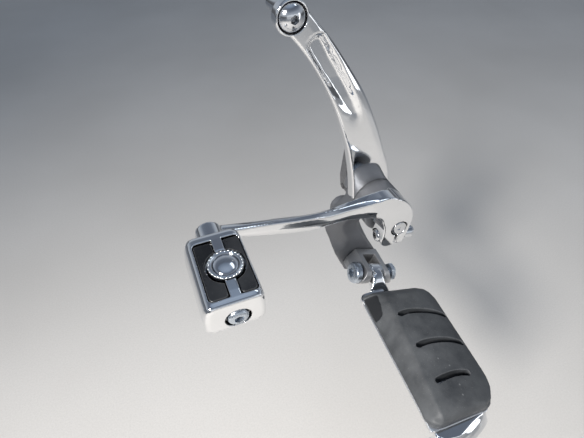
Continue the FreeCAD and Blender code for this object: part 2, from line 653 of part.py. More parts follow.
cut_sketch = new_sketch(inner_arm, "inner_slit", "XZ_Plane", offset=0.0)
draw(cut_sketch, (-1.0, -4.0), [(1.0, -4.0), (1.0, -30.0), (-1.0, -30.0), (-1.0, -4.0)])
pocket(inner_arm, cut_sketch, "inner_cut", "100")
clamp_sketch = new_sketch(inner_arm, "clamp_hole", "YZ_Plane", offset=-40.0)
round_in(clamp_sketch, dim("inner_from") + dim("inner_thk") / 2.0, dim("pinch_z") + 0.4, "pinch_rad", 0.05)
pocket(inner_arm, clamp_sketch, "clamp_bore", "80", backwards=True)

turned("inner_arm_bolt", "shaft", [
    ("0", "-17.6"), ("4.3", "-17.6"), ("5.0", "-16.9"), ("5.0", "-11.8"),
    ("pinch_rad", "-11.8"), ("pinch_rad", "11.5"), ("0", "11.5")],
    Placement(Vector(0, dim("inner_from") + dim("inner_thk") / 2.0, dim("pinch_z") + 0.4),
              Rotation(Vector(0, 0, 1), 90)))

# --------------------------------------------------------------------------------------
# clevis, its screw, the footrest's pin and nut
# --------------------------------------------------------------------------------------
peg_clevis = new_body("peg_clevis", "pin")
section_sketch = new_sketch(peg_clevis, "clevis_section", "XZ_Plane", offset=-dim("clevis_back"))
wide, top_half, ear = dim("clevis_half"), dim("clevis_top"), dim("ear_rad")
draw(section_sketch, (-top_half, ear - 2.0), [
    (top_half, ear - 2.0), (wide, -3.0), (wide, -ear), (-wide, -ear), (-wide, -3.0), (-top_half, ear - 2.0)])
pad(peg_clevis, section_sketch, "clevis_pad", "dims.clevis_back + dims.ear_rad", backwards=False)
nose_sketch = new_sketch(peg_clevis, "clevis_nose", "YZ_Plane", offset=-30.0)
draw(nose_sketch, (0.0, ear), [
    (-ear * 0.7071, ear * 0.7071, -ear, 0.0), (-ear * 0.7071, -ear * 0.7071, 0.0, -ear),
    (0.0, -ear - 5.0), (-ear - 5.0, -ear - 5.0), (-ear - 5.0, ear + 5.0), (0.0, ear + 5.0), (0.0, ear)])
pocket(peg_clevis, nose_sketch, "clevis_round", "60", backwards=True)
slot_sketch = new_sketch(peg_clevis, "clevis_slot", "XY_Plane", offset=30.0)
slot = dim("slot_wide") / 2.0
draw(slot_sketch, (-slot, dim("slot_deep")), [
    (slot, dim("slot_deep")), (slot, -30.0), (-slot, -30.0), (-slot, dim("slot_deep"))])
pocket(peg_clevis, slot_sketch, "slot", "60")
pin_sketch = new_sketch(peg_clevis, "pin_hole", "YZ_Plane", offset=-40.0)
round_in(pin_sketch, 0.0, 0.0, "pivot_rad", 0.03)
pocket(peg_clevis, pin_sketch, "pin_bore", "80", backwards=True)
tap_sketch = new_sketch(peg_clevis, "tap_hole", "XZ_Plane", offset=-dim("clevis_back") - 1.0)
round_in(tap_sketch, 0.0, 0.0, "pivot_rad", 0.05)
pocket(peg_clevis, tap_sketch, "tap_bore", "9", backwards=True)

turned("clevis_screw", "pin", [
    ("0", "clevis_back - 7.5"), ("pivot_rad", "clevis_back - 7.5"),
    ("pivot_rad", "clevis_back + 14.0"), ("7.9", "clevis_back + 14.0"),
    ("7.9", "clevis_back + 23.0"), ("0", "clevis_back + 23.0")])

across = Rotation(Vector(0, 0, 1), -90)
turned("pivot_bolt", "pin", [
    ("0", "-5.6 - clevis_half"), ("5.0", "-5.6 - clevis_half"), ("7.4", "-4.4 - clevis_half"),
    ("8.2", "-2.0 - clevis_half"), ("pivot_head", "-1.6 - clevis_half"),
    ("pivot_head", "0 - clevis_half"), ("pivot_rad", "0 - clevis_half"),
    ("pivot_rad", "clevis_half + 4.0"), ("0", "clevis_half + 4.0")],
    Placement(Vector(0, 0, 0), across))
turned("pivot_nut", "pin", [
    ("pivot_rad + 0.05", "clevis_half"), ("8.6", "clevis_half"), ("8.6", "clevis_half + 3.4"),
    ("7.6", "clevis_half + 4.6"), ("pivot_rad + 0.05", "clevis_half + 4.6")],
    Placement(Vector(0, 0, 0), across))
# columns: side of the tongue
rings = []
for side in (-1.0, 1.0):
    low = min(side * dim("tongue_wide") / 2.0, side * slot)
    ring = Part.makeCylinder(8.4, 0.8, Vector(low + 0.1, 0, 0), Vector(1, 0, 0)).cut(
        Part.makeCylinder(dim("pivot_rad") + 0.05, 2.0, Vector(low - 0.5, 0, 0), Vector(1, 0, 0)))
    rings.append(ring)
feature("pivot_washers", Part.makeCompound(rings), "pin")

# --------------------------------------------------------------------------------------
# footrest: tongue and beam, tray, tread, end cap, screws from below
# --------------------------------------------------------------------------------------
def tread_to_pin(shape):
    """Move a shape made in the tread's frame into the pin's frame."""
    shape.transformShape(placement("pin").inverse().multiply(placement("tread")).toMatrix(), True)
    return shape


tongue_half = dim("tongue_wide") / 2.0
tongue = Part.makeCylinder(dim("tongue_rad"), dim("tongue_wide"), Vector(-tongue_half, 0, 0), Vector(1, 0, 0))
tongue = tongue.fuse(Part.makeBox(dim("tongue_wide"), 17.0, 2.0 * dim("tongue_rad"),
                                  Vector(-tongue_half, -17.0, -dim("tongue_rad"))))
top, low = dim("tray_top") - dim("tray_thk"), dim("beam_low")
wide = dim("beam_half")
# columns: y, left, right, bottom, top (tread's frame)
collar_rows = [
    (-14.0, -tongue_half, tongue_half, -9.0, 8.6),
    (-19.0, -14.0, 14.0, -10.0, 6.0),
    (-26.0, -15.0, 15.0, -12.0, 1.0),
]
collar = Part.makeLoft([Part.makePolygon([
    Vector(a, y, b), Vector(c, y, b), Vector(c, y, d), Vector(a, y, d), Vector(a, y, b)])
    for y, a, c, b, d in collar_rows], True, False)
beam = Part.makeBox(2.0 * wide, 100.0, top - low, Vector(-wide, -124.0, low))
arm_shape = tread_to_pin(collar.fuse(beam))
core = tongue.fuse(arm_shape).cut(Part.makeCylinder(
    dim("pivot_rad") + dim("run_gap"), 60.0, Vector(-30, 0, 0), Vector(1, 0, 0)))
footpeg_core = core.removeSplitter()

# outlines seen from above, in the tread's frame: the rubber and the metal under it
pad_start = (-20.8, -28.0)
pad_outline = [(-19.5, -23.5), (-8.0, -22.5), (31.0, -24.5), (41.0, -29.0, 46.3, -43.0), (45.2, -113.0),
               (42.0, -128.0, 34.5, -138.5), (32.0, -141.5, 27.0, -142.2), (-8.0, -145.8),
               (-13.5, -145.9), (-19.3, -142.0, -20.8, -133.0), (-20.8, -28.0)]
tray_start = (-21.5, -27.0)
tray_outline = [(-20.0, -22.0), (-8.0, -21.0), (32.0, -23.0), (43.0, -28.0, 48.0, -42.0), (47.3, -113.0),
                (44.0, -130.0, 36.5, -140.5), (34.0, -145.5, 29.0, -146.8), (-20.5, -146.8),
                (-21.5, -27.0)]
tray_shape = solid_of(tray_start, tray_outline, top, dim("tray_top"), "xy")
screw_places = [(0.0, -48.0), (0.0, -108.0)]
tray_shape = tread_to_pin(tray_shape)

block = solid_of(pad_start, pad_outline, dim("tray_top"), 30.0, "xy")
# cross-section of the tread: front slope, ridge, falling crown
crown_low = dim("tray_top")
crown = solid_of((-24.0, crown_low - 5.0), [
    (-24.0, -2.5), (-20.8, -1.0), (-10.5, 9.0), (-6.0, dim("pad_high"), 1.0, dim("pad_high")),
    (26.0, 9.0, 43.0, 0.0), (50.0, -4.0), (50.0, crown_low - 5.0), (-24.0, crown_low - 5.0)], -170.0, 0.0)
tread_shape = block.common(crown)
notch = solid_of((-30.0, -10.0), [
    (-3.5, -10.0), (-4.5, -35.0), (-10.0, -41.0), (-30.0, -50.0), (-30.0, -10.0)],
    dim("tray_top") - 1.0, 30.0, "xy")
tread_shape = tread_shape.cut(notch)
# the inner end slopes up from the tray
slope = Part.Face(Part.makePolygon([Vector(-40, y, z) for y, z in (
    (-15.0, -3.0), (-23.5, -3.0), (-33.0, 9.0), (-37.0, 20.0), (-15.0, 20.0), (-15.0, -3.0))]))
tread_shape = tread_shape.cut(slope.extrude(Vector(100, 0, 0)))
tread_shape = tread_to_pin(tread_shape)

# end cap, in two stages: ledge beside the rubber, fuller wall below
# columns: low z, high z, outline
cap_start = (-20.5, -147.1)
cap_stages = [
    (-8.0, -4.2, [(-17.0, -151.8), (0.0, -153.5, 14.0, -150.5), (30.0, -147.1), (-20.5, -147.1)]),
    (-17.0, -8.0, [(-17.5, -153.5), (2.0, -158.8, 18.0, -155.0), (28.0, -152.5, 32.0, -147.1),
                   (-20.5, -147.1)]),
]
cap_parts = [solid_of(cap_start, shape, low_z, high_z, "xy") for low_z, high_z, shape in cap_stages]
cap_shape = tread_to_pin(cap_parts[0].fuse(cap_parts[1]).removeSplitter())

screws, holes = [], []
for x, y in screw_places:
    head = Part.makeCylinder(5.0, 3.0, Vector(x, y, low - 3.0), Vector(0, 0, 1))
    stem = Part.makeCylinder(3.0, top - low + dim("tray_thk") - 0.6, Vector(x, y, low), Vector(0, 0, 1))
    screws.append(head.fuse(stem))
    holes.append(stem)
screw_shape = tread_to_pin(Part.makeCompound(screws))
hole_shape = tread_to_pin(Part.makeCompound(holes))
feature("footpeg_core", footpeg_core.cut(hole_shape), "pin")
feature("footpeg_tray", tray_shape.cut(hole_shape).cut(footpeg_core), "pin")
feature("footpeg_tread", tread_shape.cut(footpeg_core), "pin")
feature("footpeg_end_cap", cap_shape, "pin")
feature("footpeg_screws", screw_shape, "pin")

# --------------------------------------------------------------------------------------
# check and write
# --------------------------------------------------------------------------------------
doc.recompute()
NODES = [
    "peg_bracket", "shaft_bush_outer", "shaft_bush_inner", "support_arm", "support_arm_bolt",
    "brace_lower_screw", "peg_clevis", "clevis_screw", "pivot_bolt", "pivot_nut", "pivot_washers",
    "shift_shaft", "thrust_washer", "shift_lever", "lever_pinch_bolt", "inner_arm",
    "inner_arm_bolt", "toe_peg_cover", "toe_peg_treads", "toe_peg_stud", "toe_peg_screw",
    "footpeg_core", "footpeg_tray", "footpeg_tread", "footpeg_end_cap", "footpeg_screws",
]
for obj in doc.Objects:
    if "Invalid" in obj.State or "Error" in obj.State:
        raise RuntimeError("object %s is %s" % (obj.Name, obj.State))
for label in NODES:
    found = doc.getObjectsByLabel(label)
    if len(found) != 1:
        raise RuntimeError("%d objects are called %s" % (len(found), label))
    shape = found[0].Shape
    if shape.isNull() or not shape.isValid() or shape.Volume < 1.0:
        raise RuntimeError("bad shape: " + label)
    print("%-18s solids %d volume %9.1f box %s" % (label, len(shape.Solids), shape.Volume, shape.BoundBox))
for label in NODES:
    doc.getObjectsByLabel(label)[0].Shape.exportStep("parts/%s.step" % label)
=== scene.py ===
import json
import math

import bmesh
import bpy
import numpy as np
from mathutils import Matrix, Vector


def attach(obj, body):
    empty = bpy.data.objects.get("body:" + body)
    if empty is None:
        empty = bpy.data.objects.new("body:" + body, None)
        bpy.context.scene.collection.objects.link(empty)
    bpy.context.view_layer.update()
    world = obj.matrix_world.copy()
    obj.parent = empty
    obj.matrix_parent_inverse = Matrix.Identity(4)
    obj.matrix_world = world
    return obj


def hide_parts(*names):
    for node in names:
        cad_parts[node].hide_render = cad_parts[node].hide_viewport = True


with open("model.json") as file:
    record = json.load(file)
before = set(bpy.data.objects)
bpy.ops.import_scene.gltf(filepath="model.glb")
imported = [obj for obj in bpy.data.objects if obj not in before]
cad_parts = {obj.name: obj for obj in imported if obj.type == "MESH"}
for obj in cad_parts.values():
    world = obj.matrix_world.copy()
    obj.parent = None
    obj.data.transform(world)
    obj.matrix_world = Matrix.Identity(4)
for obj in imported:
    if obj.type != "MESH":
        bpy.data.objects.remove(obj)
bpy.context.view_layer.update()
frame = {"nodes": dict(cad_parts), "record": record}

# ------------------------------------------------------------------------------------
# local frames, in millimetres: the same as in part.py
# ------------------------------------------------------------------------------------
MM = 0.001


def turn(axis, degrees):
    return Matrix.Rotation(math.radians(degrees), 4, axis)


SHAFT = Matrix.Translation((19.0, -70.0, 40.0))
PIN = Matrix.Translation((10.5, -57.0, -27.5)) @ turn("Z", -5.0) @ turn("Y", 18.0)
TREAD = Matrix.Translation((10.5, -57.0, -27.5)) @ turn("Z", -5.0) @ turn("Y", 8.0)
TOE_AT = Matrix.Translation((-155.8, -8.0, 54.0))
TOE = SHAFT @ TOE_AT @ turn("X", 3.4) @ TOE_AT.inverted()
ROW = Matrix.Identity(4)

scene = bpy.context.scene
rng = np.random.default_rng(7)


# ------------------------------------------------------------------------------------
# mesh helpers: points are given in millimetres in a local frame
# ------------------------------------------------------------------------------------
def make(name, points, faces, frame_matrix=ROW):
    """A mesh object from points in a local frame."""
    mesh = bpy.data.meshes.new(name)
    placed = [(frame_matrix @ Vector(p)) * MM for p in points]
    mesh.from_pydata(placed, [], faces)
    mesh.update()
    bm = bmesh.new()
    bm.from_mesh(mesh)
    bmesh.ops.remove_doubles(bm, verts=bm.verts, dist=1e-7)
    bmesh.ops.recalc_face_normals(bm, faces=bm.faces)
    bm.to_mesh(mesh)
    bm.free()
    obj = bpy.data.objects.new(name, mesh)
    scene.collection.objects.link(obj)
    return obj


def loft(name, rings, frame_matrix=ROW, closed=True, caps=True):
    """A tube through rings of equally many points."""
    count = len(rings[0])
    points = [p for ring in rings for p in ring]
    faces = []
    for r in range(len(rings) - 1):
        for k in range(count if closed else count - 1):
            a, b = r * count + k, r * count + (k + 1) % count
            faces.append((a, b, b + count, a + count))
    if caps:
        faces.append(tuple(range(count - 1, -1, -1)))
        faces.append(tuple(range(len(points) - count, len(points))))
    return make(name, points, faces, frame_matrix)


def lathe(name, profile, frame_matrix=ROW, at=(0.0, 0.0, 0.0), axis="Y", steps=72):
    """A turned piece: profile lists (radius, distance along the axis)."""
    points, faces = [], []
    rows = []
    for radius, along in profile:
        if radius < 1e-6:
            rows.append([len(points)])
            points.append((0.0, along, 0.0))
            continue
        rows.append(list(range(len(points), len(points) + steps)))
        for k in range(steps):
            a = 2.0 * math.pi * k / steps
            points.append((radius * math.cos(a), along, radius * math.sin(a)))
    for a, b in zip(rows[:-1], rows[1:]):
        if len(a) == 1 and len(b) == 1:
            continue
        for k in range(steps):
            n = (k + 1) % steps
            if len(a) == 1:
                faces.append((a[0], b[n], b[k]))
            elif len(b) == 1:
                faces.append((a[k], a[n], b[0]))
            else:
                faces.append((a[k], a[n], b[n], b[k]))
    if len(rows[0]) > 1 and len(rows[-1]) > 1:
        a, b = rows[-1], rows[0]
        for k in range(steps):
            n = (k + 1) % steps
            faces.append((a[k], a[n], b[n], b[k]))
    swap = {"Y": Matrix.Identity(4), "X": turn("Z", -90.0), "Z": turn("X", 90.0)}[axis]
    placed = [tuple((swap @ Vector(p)) + Vector(at)) for p in points]
    return make(name, placed, faces, frame_matrix)


def prism(name, outline, low, high, frame_matrix=ROW, axes="xz"):
    """An outline pulled along the third axis."""
    def point(a, b, c):
        return {"xz": (a, c, b), "xy": (a, b, c), "yz": (c, a, b)}[axes]
    rings = [[point(a, b, c) for a, b in outline] for c in (low, high)]
    return loft(name, rings, frame_matrix)


def arc(a, b, c, steps=12):
    """Points along the circle from a through b to c."""
    ax, ay = a
    bx, by = b
    cx, cy = c
    d = 2.0 * (ax * (by - cy) + bx * (cy - ay) + cx * (ay - by))
    if abs(d) < 1e-9:
        return [a, b, c]
    ux = ((ax**2 + ay**2) * (by - cy) + (bx**2 + by**2) * (cy - ay) + (cx**2 + cy**2) * (ay - by)) / d
    uy = ((ax**2 + ay**2) * (cx - bx) + (bx**2 + by**2) * (ax - cx) + (cx**2 + cy**2) * (bx - ax)) / d
    r = math.hypot(ax - ux, ay - uy)
    t0, t1, t2 = (math.atan2(y - uy, x - ux) for x, y in (a, b, c))
    def after(t, start):
        return (t - start) % (2.0 * math.pi)
    if after(t1, t0) < after(t2, t0):
        span = after(t2, t0)
    else:
        span = after(t2, t0) - 2.0 * math.pi
    return [(ux + r * math.cos(t0 + span * k / steps), uy + r * math.sin(t0 + span * k / steps))
            for k in range(steps + 1)]


def path(start, moves, steps=12):
    """Outline of lines (x, y) and arcs (mx, my, x, y)."""
    out = [start]
    for move in moves:
        if len(move) == 2:
            out.append(tuple(move))
        else:
            out.extend(arc(out[-1], (move[0], move[1]), (move[2], move[3]), steps)[1:])
    if math.dist(out[0], out[-1]) < 1e-6:
        out.pop()
    return out


def round_box(half_x, half_y, radius, at=(0.0, 0.0), steps=8):
    """Rounded rectangle outline."""
    out = []
    for sx, sy, start in ((1, 1, 0), (-1, 1, 90), (-1, -1, 180), (1, -1, 270)):
        for k in range(steps + 1):
            a = math.radians(start + 90.0 * k / steps)
            out.append((at[0] + sx * (half_x - radius) + radius * math.cos(a),
                        at[1] + sy * (half_y - radius) + radius * math.sin(a)))
    return out


def smooth_rows(rows, count):
    """Catmull-Rom interpolation of a table of numbers, by chord length."""
    rows = np.array(rows, float)
    steps = np.linalg.norm(np.diff(rows, axis=0), axis=1)
    t = np.concatenate([[0.0], np.cumsum(np.maximum(steps, 1e-6))])
    t /= t[-1]
    want = np.linspace(0.0, 1.0, count)
    slopes = np.gradient(rows, t, axis=0)
    out = []
    for w in want:
        k = min(max(int(np.searchsorted(t, w, side="right")) - 1, 0), len(t) - 2)
        h = t[k + 1] - t[k]
        u = (w - t[k]) / h
        h00, h10 = 2 * u**3 - 3 * u**2 + 1, u**3 - 2 * u**2 + u
        h01, h11 = -2 * u**3 + 3 * u**2, u**3 - u**2
        out.append(h00 * rows[k] + h10 * h * slopes[k] + h01 * rows[k + 1] + h11 * h * slopes[k + 1])
    return np.array(out)


def apply(obj):
    """Bakes an object's modifiers into its mesh."""
    graph = bpy.context.evaluated_depsgraph_get()
    graph.update()
    mesh = bpy.data.meshes.new_from_object(obj.evaluated_get(graph))
    obj.modifiers.clear()
    old = obj.data
    obj.data = mesh
    bpy.data.meshes.remove(old)
    return obj


def drop(obj):
    mesh = obj.data
    bpy.data.objects.remove(obj)
    bpy.data.meshes.remove(mesh)


def boolean(obj, tools, operation):
    """Exact boolean with each tool, which is then removed."""
    for tool in tools:
        mod = obj.modifiers.new("cut", "BOOLEAN")
        mod.operation = operation
        mod.solver = "EXACT"
        mod.object = tool
        apply(obj)
        drop(tool)
    return obj


def cut(obj, *tools):
    return boolean(obj, tools, "DIFFERENCE")


def fuse(obj, *tools):
    return boolean(obj, tools, "UNION")


def common(obj, *tools):
    return boolean(obj, tools, "INTERSECT")


def relax(obj, rounds, weight=0.5):
    """Smooths a dense mesh by moving each point towards its neighbours' middle, with the
    shrinkage taken back, so that edges round over and the size stays."""
    mesh = obj.data
    count = len(mesh.vertices)
    co = np.empty(count * 3)
    mesh.vertices.foreach_get("co", co)
    co = co.reshape(-1, 3)
    edges = np.empty(len(mesh.edges) * 2, dtype=np.int64)
    mesh.edges.foreach_get("vertices", edges)
    edges = edges.reshape(-1, 2)
    degree = np.bincount(edges.ravel(), minlength=count).astype(float)
    degree[degree == 0] = 1.0
    def step(co, w):
        total = np.zeros_like(co)
        for axis in range(3):
            total[:, axis] = (np.bincount(edges[:, 0], co[edges[:, 1], axis], count)
                              + np.bincount(edges[:, 1], co[edges[:, 0], axis], count))
        return co + w * (total / degree[:, None] - co)
    for _ in range(rounds):
        co = step(co, weight)
        co = step(co, -weight * 0.96)
        co = step(co, weight * 0.5)
    mesh.vertices.foreach_set("co", co.ravel())
    mesh.update()
    return obj


def remesh(obj, voxel, rounds):
    """Turns overlapping closed shells into one even mesh, then rounds its edges."""
    mod = obj.modifiers.new("even", "REMESH")
    mod.mode = "VOXEL"
    mod.voxel_size = voxel * MM
    mod.adaptivity = 0.0
    mod.use_smooth_shade = True
    apply(obj)
    relax(obj, rounds)
    shade(obj)
    return obj


def shade(obj, angle=None):
    """Smooth shading, with edges over the angle kept sharp."""
    mesh = obj.data
    mesh.polygons.foreach_set("use_smooth", [True] * len(mesh.polygons))
    if angle is not None:
        mesh.set_sharp_from_angle(angle=math.radians(angle))
    mesh.update()
    return obj


def bevel(obj, width, steps=3, angle=30.0):
    """Rounds the edges of a small plain-sided piece."""
    mod = obj.modifiers.new("edge", "BEVEL")
    mod.width = width * MM
    mod.segments = steps
    mod.limit_method = "ANGLE"
    mod.angle_limit = math.radians(angle)
    mod.harden_normals = False
    apply(obj)
    return shade(obj, 40.0)


def join(name, objs):
    """One object from several."""
    bm = bmesh.new()
    for obj in objs:
        bm.from_mesh(obj.data)
    mesh = bpy.data.meshes.new(name)
    bm.to_mesh(mesh)
    bm.free()
    out = bpy.data.objects.new(name, mesh)
    scene.collection.objects.link(out)
    for obj in objs:
        drop(obj)
    return out


def rename(obj, name):
    obj.name = name
    obj.data.name = name
    return obj


# ------------------------------------------------------------------------------------
# materials
# ------------------------------------------------------------------------------------
class Nodes:
    """Short hand for building a shader tree."""

    def __init__(self, name):
        self.material = bpy.data.materials.new(name)
        self.material.use_nodes = True
        self.tree = self.material.node_tree
        self.bsdf = self.tree.nodes["Principled BSDF"]
        self.place = self.tree.nodes.new("ShaderNodeTexCoord").outputs["Object"]

    def node(self, kind, **values):
        node = self.tree.nodes.new(kind)
        for key, value in values.items():
            if key in node.inputs:
                node.inputs[key].default_value = value
            else:
                setattr(node, key, value)
        return node

    def link(self, a, b):
        self.tree.links.new(a, b)

    def scaled(self, x, y, z):
        """Object coordinates stretched by a factor each way."""
        node = self.node("ShaderNodeMapping")
        node.inputs["Scale"].default_value = (x, y, z)
        self.link(self.place, node.inputs["Vector"])
        return node.outputs["Vector"]

    def noise(self, scale, detail=4.0, rough=0.55, vector=None):
        """Noise whose scale is in features per metre."""
        node = self.node("ShaderNodeTexNoise")
        node.inputs["Scale"].default_value = scale
        node.inputs["Detail"].default_value = detail
        node.inputs["Roughness"].default_value = rough
        self.link(vector or self.place, node.inputs["Vector"])
        return node.outputs["Fac"]

    def cells(self, scale, feature="F1", vector=None):
        node = self.node("ShaderNodeTexVoronoi")
        node.feature = feature
        node.inputs["Scale"].default_value = scale
        self.link(vector or self.place, node.inputs["Vector"])
        return node.outputs["Distance"]

    def ramp(self, value, low, high, out_low=0.0, out_high=1.0):
        """Straight map of a value range, clamped."""
        node = self.node("ShaderNodeMapRange")
        node.inputs["From Min"].default_value = low
        node.inputs["From Max"].default_value = high
        node.inputs["To Min"].default_value = out_low
        node.inputs["To Max"].default_value = out_high
        self.link(value, node.inputs["Value"])
        return node.outputs["Result"]

    def math(self, operation, a, b=None):
        node = self.node("ShaderNodeMath")
        node.operation = operation
        for socket, value in zip(node.inputs, (a, b)):
            if value is None:
                continue
            if isinstance(value, (int, float)):
                socket.default_value = value
            else:
                self.link(value, socket)
        return node.outputs["Value"]

    def mix(self, factor, a, b):
        """Colour between a and b."""
        node = self.node("ShaderNodeMix")
        node.data_type = "RGBA"
        sockets = [s for s in node.inputs if s.type == "RGBA"]
        self.link(factor, node.inputs["Factor"])
        for socket, value in zip(sockets, (a, b)):
            if isinstance(value, tuple):
                socket.default_value = (*value, 1.0) if len(value) == 3 else value
            else:
                self.link(value, socket)
        return [s for s in node.outputs if s.type == "RGBA"][0]

    def edges(self):
        """1 on outer edges, 0 elsewhere."""
        geometry = self.node("ShaderNodeNewGeometry")
        return self.ramp(geometry.outputs["Pointiness"], 0.52, 0.60)

    def hollows(self):
        """1 in inner corners, 0 elsewhere."""
        geometry = self.node("ShaderNodeNewGeometry")
        return self.ramp(geometry.outputs["Pointiness"], 0.49, 0.42)

    def bump(self, height, strength, distance, base=None):
        node = self.node("ShaderNodeBump")
        node.inputs["Strength"].default_value = strength
        node.inputs["Distance"].default_value = distance
        self.link(height, node.inputs["Height"])
        if base is not None:
            self.link(base, node.inputs["Normal"])
        return node.outputs["Normal"]

    def set(self, socket, value):
        target = self.bsdf.inputs[socket]
        if isinstance(value, (int, float)):
            target.default_value = value
        elif isinstance(value, tuple):
            target.default_value = (*value, 1.0) if len(value) == 3 else value
        else:
            self.link(value, target)


def chrome(name, tint=(0.84, 0.85, 0.865), rough=0.045, dust=0.35, gap_shade=False):
    """Bright plating with faint smears and fine dust specks; inner corners darkened towards the dust colour as painted
    shade, and, when asked, occluded gaps painted near black as painted shade.
    """
    n = Nodes(name)
    smear = n.noise(55.0, 5.0, 0.6)
    specks = n.ramp(n.noise(1900.0, 2.0, 0.5), 0.66, 0.74)
    patches = n.ramp(n.noise(38.0, 3.0, 0.6), 0.42, 0.70)
    # inner corners darkened towards the dust colour: painted shade, mixed into the dust mask
    corner_shade = n.math("MULTIPLY", n.hollows(), 0.55)
    dust_and_corner_shade = n.math("MULTIPLY", n.math("MULTIPLY", specks, patches), dust)
    dust_and_corner_shade = n.math("MINIMUM", n.math("ADD", dust_and_corner_shade, n.math("MULTIPLY", corner_shade, 0.5)), 1.0)
    tone = n.mix(smear, tuple(c * 0.93 for c in tint), tuple(min(c * 1.05, 1.0) for c in tint))
    # occluded gaps painted near black: painted shade
    if gap_shade:
        gap = n.node("ShaderNodeAmbientOcclusion")
        gap.samples = 6
        gap.inputs["Distance"].default_value = 0.004
        tone = n.mix(n.ramp(gap.outputs["AO"], 0.52, 0.28), tone, (0.015, 0.015, 0.016))
    n.set("Base Color", n.mix(dust_and_corner_shade, tone, (0.30, 0.27, 0.23)))
    n.set("Metallic", n.ramp(dust_and_corner_shade, 0.0, 1.0, 1.0, 0.45))
    rough_map = n.math("ADD", n.ramp(smear, 0.3, 0.75, rough * 0.7, rough * 1.9),
                       n.math("MULTIPLY", dust_and_corner_shade, 0.35))
    n.set("Roughness", rough_map)
    waves = n.noise(60.0, 2.0, 0.5)
    fine = n.bump(n.noise(2600.0, 2.0, 0.5), 0.05, 0.00002)
    n.set("Normal", n.bump(waves, 0.10, 0.00025, fine))
    return n.material


def cast_silver(name, tint=(0.165, 0.170, 0.182), rough=0.46, edge_wear_and_highlight=0.35):
    """Satin silver casting: fine grain, soft blotches, edges brighter as rubbed wear and as painted highlight,
    its inner corners and occluded gaps darkened as painted shade."""
    n = Nodes(name)
    blotch = n.noise(32.0, 4.0, 0.6)
    grain = n.noise(900.0, 4.0, 0.65)
    tone = n.mix(n.ramp(blotch, 0.35, 0.70), tuple(c * 0.86 for c in tint), tuple(c * 1.10 for c in tint))
    tone = n.mix(n.math("MULTIPLY", n.ramp(grain, 0.5, 0.8), 0.25), tone, tuple(c * 1.35 for c in tint))
    # edges brightened: rubbed wear and painted highlight
    tone = n.mix(n.math("MULTIPLY", n.edges(), edge_wear_and_highlight), tone, (0.50, 0.50, 0.51))
    # inner corners darkened, then occluded gaps painted near black: painted shade
    tone = n.mix(n.math("MULTIPLY", n.hollows(), 0.55), tone, (0.10, 0.10, 0.10))
    gap = n.node("ShaderNodeAmbientOcclusion")
    gap.samples = 6
    gap.inputs["Distance"].default_value = 0.014
    tone = n.mix(n.ramp(gap.outputs["AO"], 0.60, 0.25), tone, (0.015, 0.015, 0.016))
    n.set("Base Color", tone)
    n.set("Metallic", 0.45)
    n.set("Roughness", n.math("ADD", n.ramp(grain, 0.3, 0.8, rough - 0.06, rough + 0.10),
                              n.math("MULTIPLY", n.hollows(), 0.2)))
    coarse = n.bump(n.noise(260.0, 3.0, 0.6), 0.18, 0.00020)
    n.set("Normal", n.bump(grain, 0.22, 0.00012, coarse))
    return n.material


def steel(name, tint, rough, bump=0.12, along=(1.0, 1.0, 1.0), metallic=0.95, spots=0.25):
    """Plated or machined steel with fine lines, stains and rubbed edges."""
    n = Nodes(name)
    lines = n.noise(1400.0, 3.0, 0.6, n.scaled(*along))
    stain = n.noise(120.0, 4.0, 0.65)
    tone = n.mix(n.ramp(lines, 0.3, 0.75), tuple(c * 0.85 for c in tint), tuple(min(c * 1.12, 1.0) for c in tint))
    tone = n.mix(n.math("MULTIPLY", n.ramp(stain, 0.55, 0.8), spots), tone, tuple(c * 0.55 for c in tint))
    tone = n.mix(n.math("MULTIPLY", n.edges(), 0.4), tone, tuple(min(c * 1.4, 0.95) for c in tint))
    # inner corners darkened: painted shade
    tone = n.mix(n.math("MULTIPLY", n.hollows(), 0.6), tone, (0.08, 0.07, 0.06))
    n.set("Base Color", tone)
    n.set("Metallic", metallic)
    n.set("Roughness", n.math("ADD", n.ramp(lines, 0.3, 0.8, rough - 0.05, rough + 0.10),
                              n.math("MULTIPLY", n.ramp(stain, 0.5, 0.8), 0.12)))
    n.set("Normal", n.bump(lines, bump, 0.00008))
    return n.material


def rubber(name, tint=(0.056, 0.060, 0.065), rough=0.52, dust=0.55):
    """Moulded rubber: fine grain, pale dust specks, scuffed edges, and hollows painted near black as painted shade."""
    n = Nodes(name)
    patches = n.noise(34.0, 4.0, 0.62)
    grain = n.noise(1500.0, 3.0, 0.6)
    specks = n.ramp(n.noise(1500.0, 2.0, 0.5), 0.68, 0.74)
    film = n.ramp(patches, 0.35, 0.72, 0.0, 1.0)
    own = n.node("ShaderNodeTexCoord")
    split = n.node("ShaderNodeSeparateXYZ")
    n.link(own.outputs["Normal"], split.inputs["Vector"])
    up = n.ramp(split.outputs["Z"], 0.1, 0.95)
    tone = n.mix(film, tuple(c * 0.62 for c in tint), tuple(c * 1.40 for c in tint))
    film_on_top = n.math("MULTIPLY", n.math("MULTIPLY", film, up), 0.30 * dust)
    tone = n.mix(film_on_top, tone, (0.22, 0.215, 0.20))
    tone = n.mix(n.math("MULTIPLY", n.math("MULTIPLY", specks, up), dust), tone, (0.34, 0.32, 0.30))
    tone = n.mix(n.math("MULTIPLY", n.edges(), 0.55), tone, (0.25, 0.25, 0.25))
    # hollows painted near black: painted shade
    tone = n.mix(n.math("MULTIPLY", n.hollows(), 0.85), tone, (0.008, 0.008, 0.009))
    n.set("Base Color", tone)
    n.set("Roughness", n.ramp(patches, 0.3, 0.75, rough - 0.10, rough + 0.12))
    n.set("Specular IOR Level", 0.45)
    coarse = n.bump(n.noise(420.0, 3.0, 0.6), 0.16, 0.00018)
    n.set("Normal", n.bump(grain, 0.30, 0.00010, coarse))
    return n.material


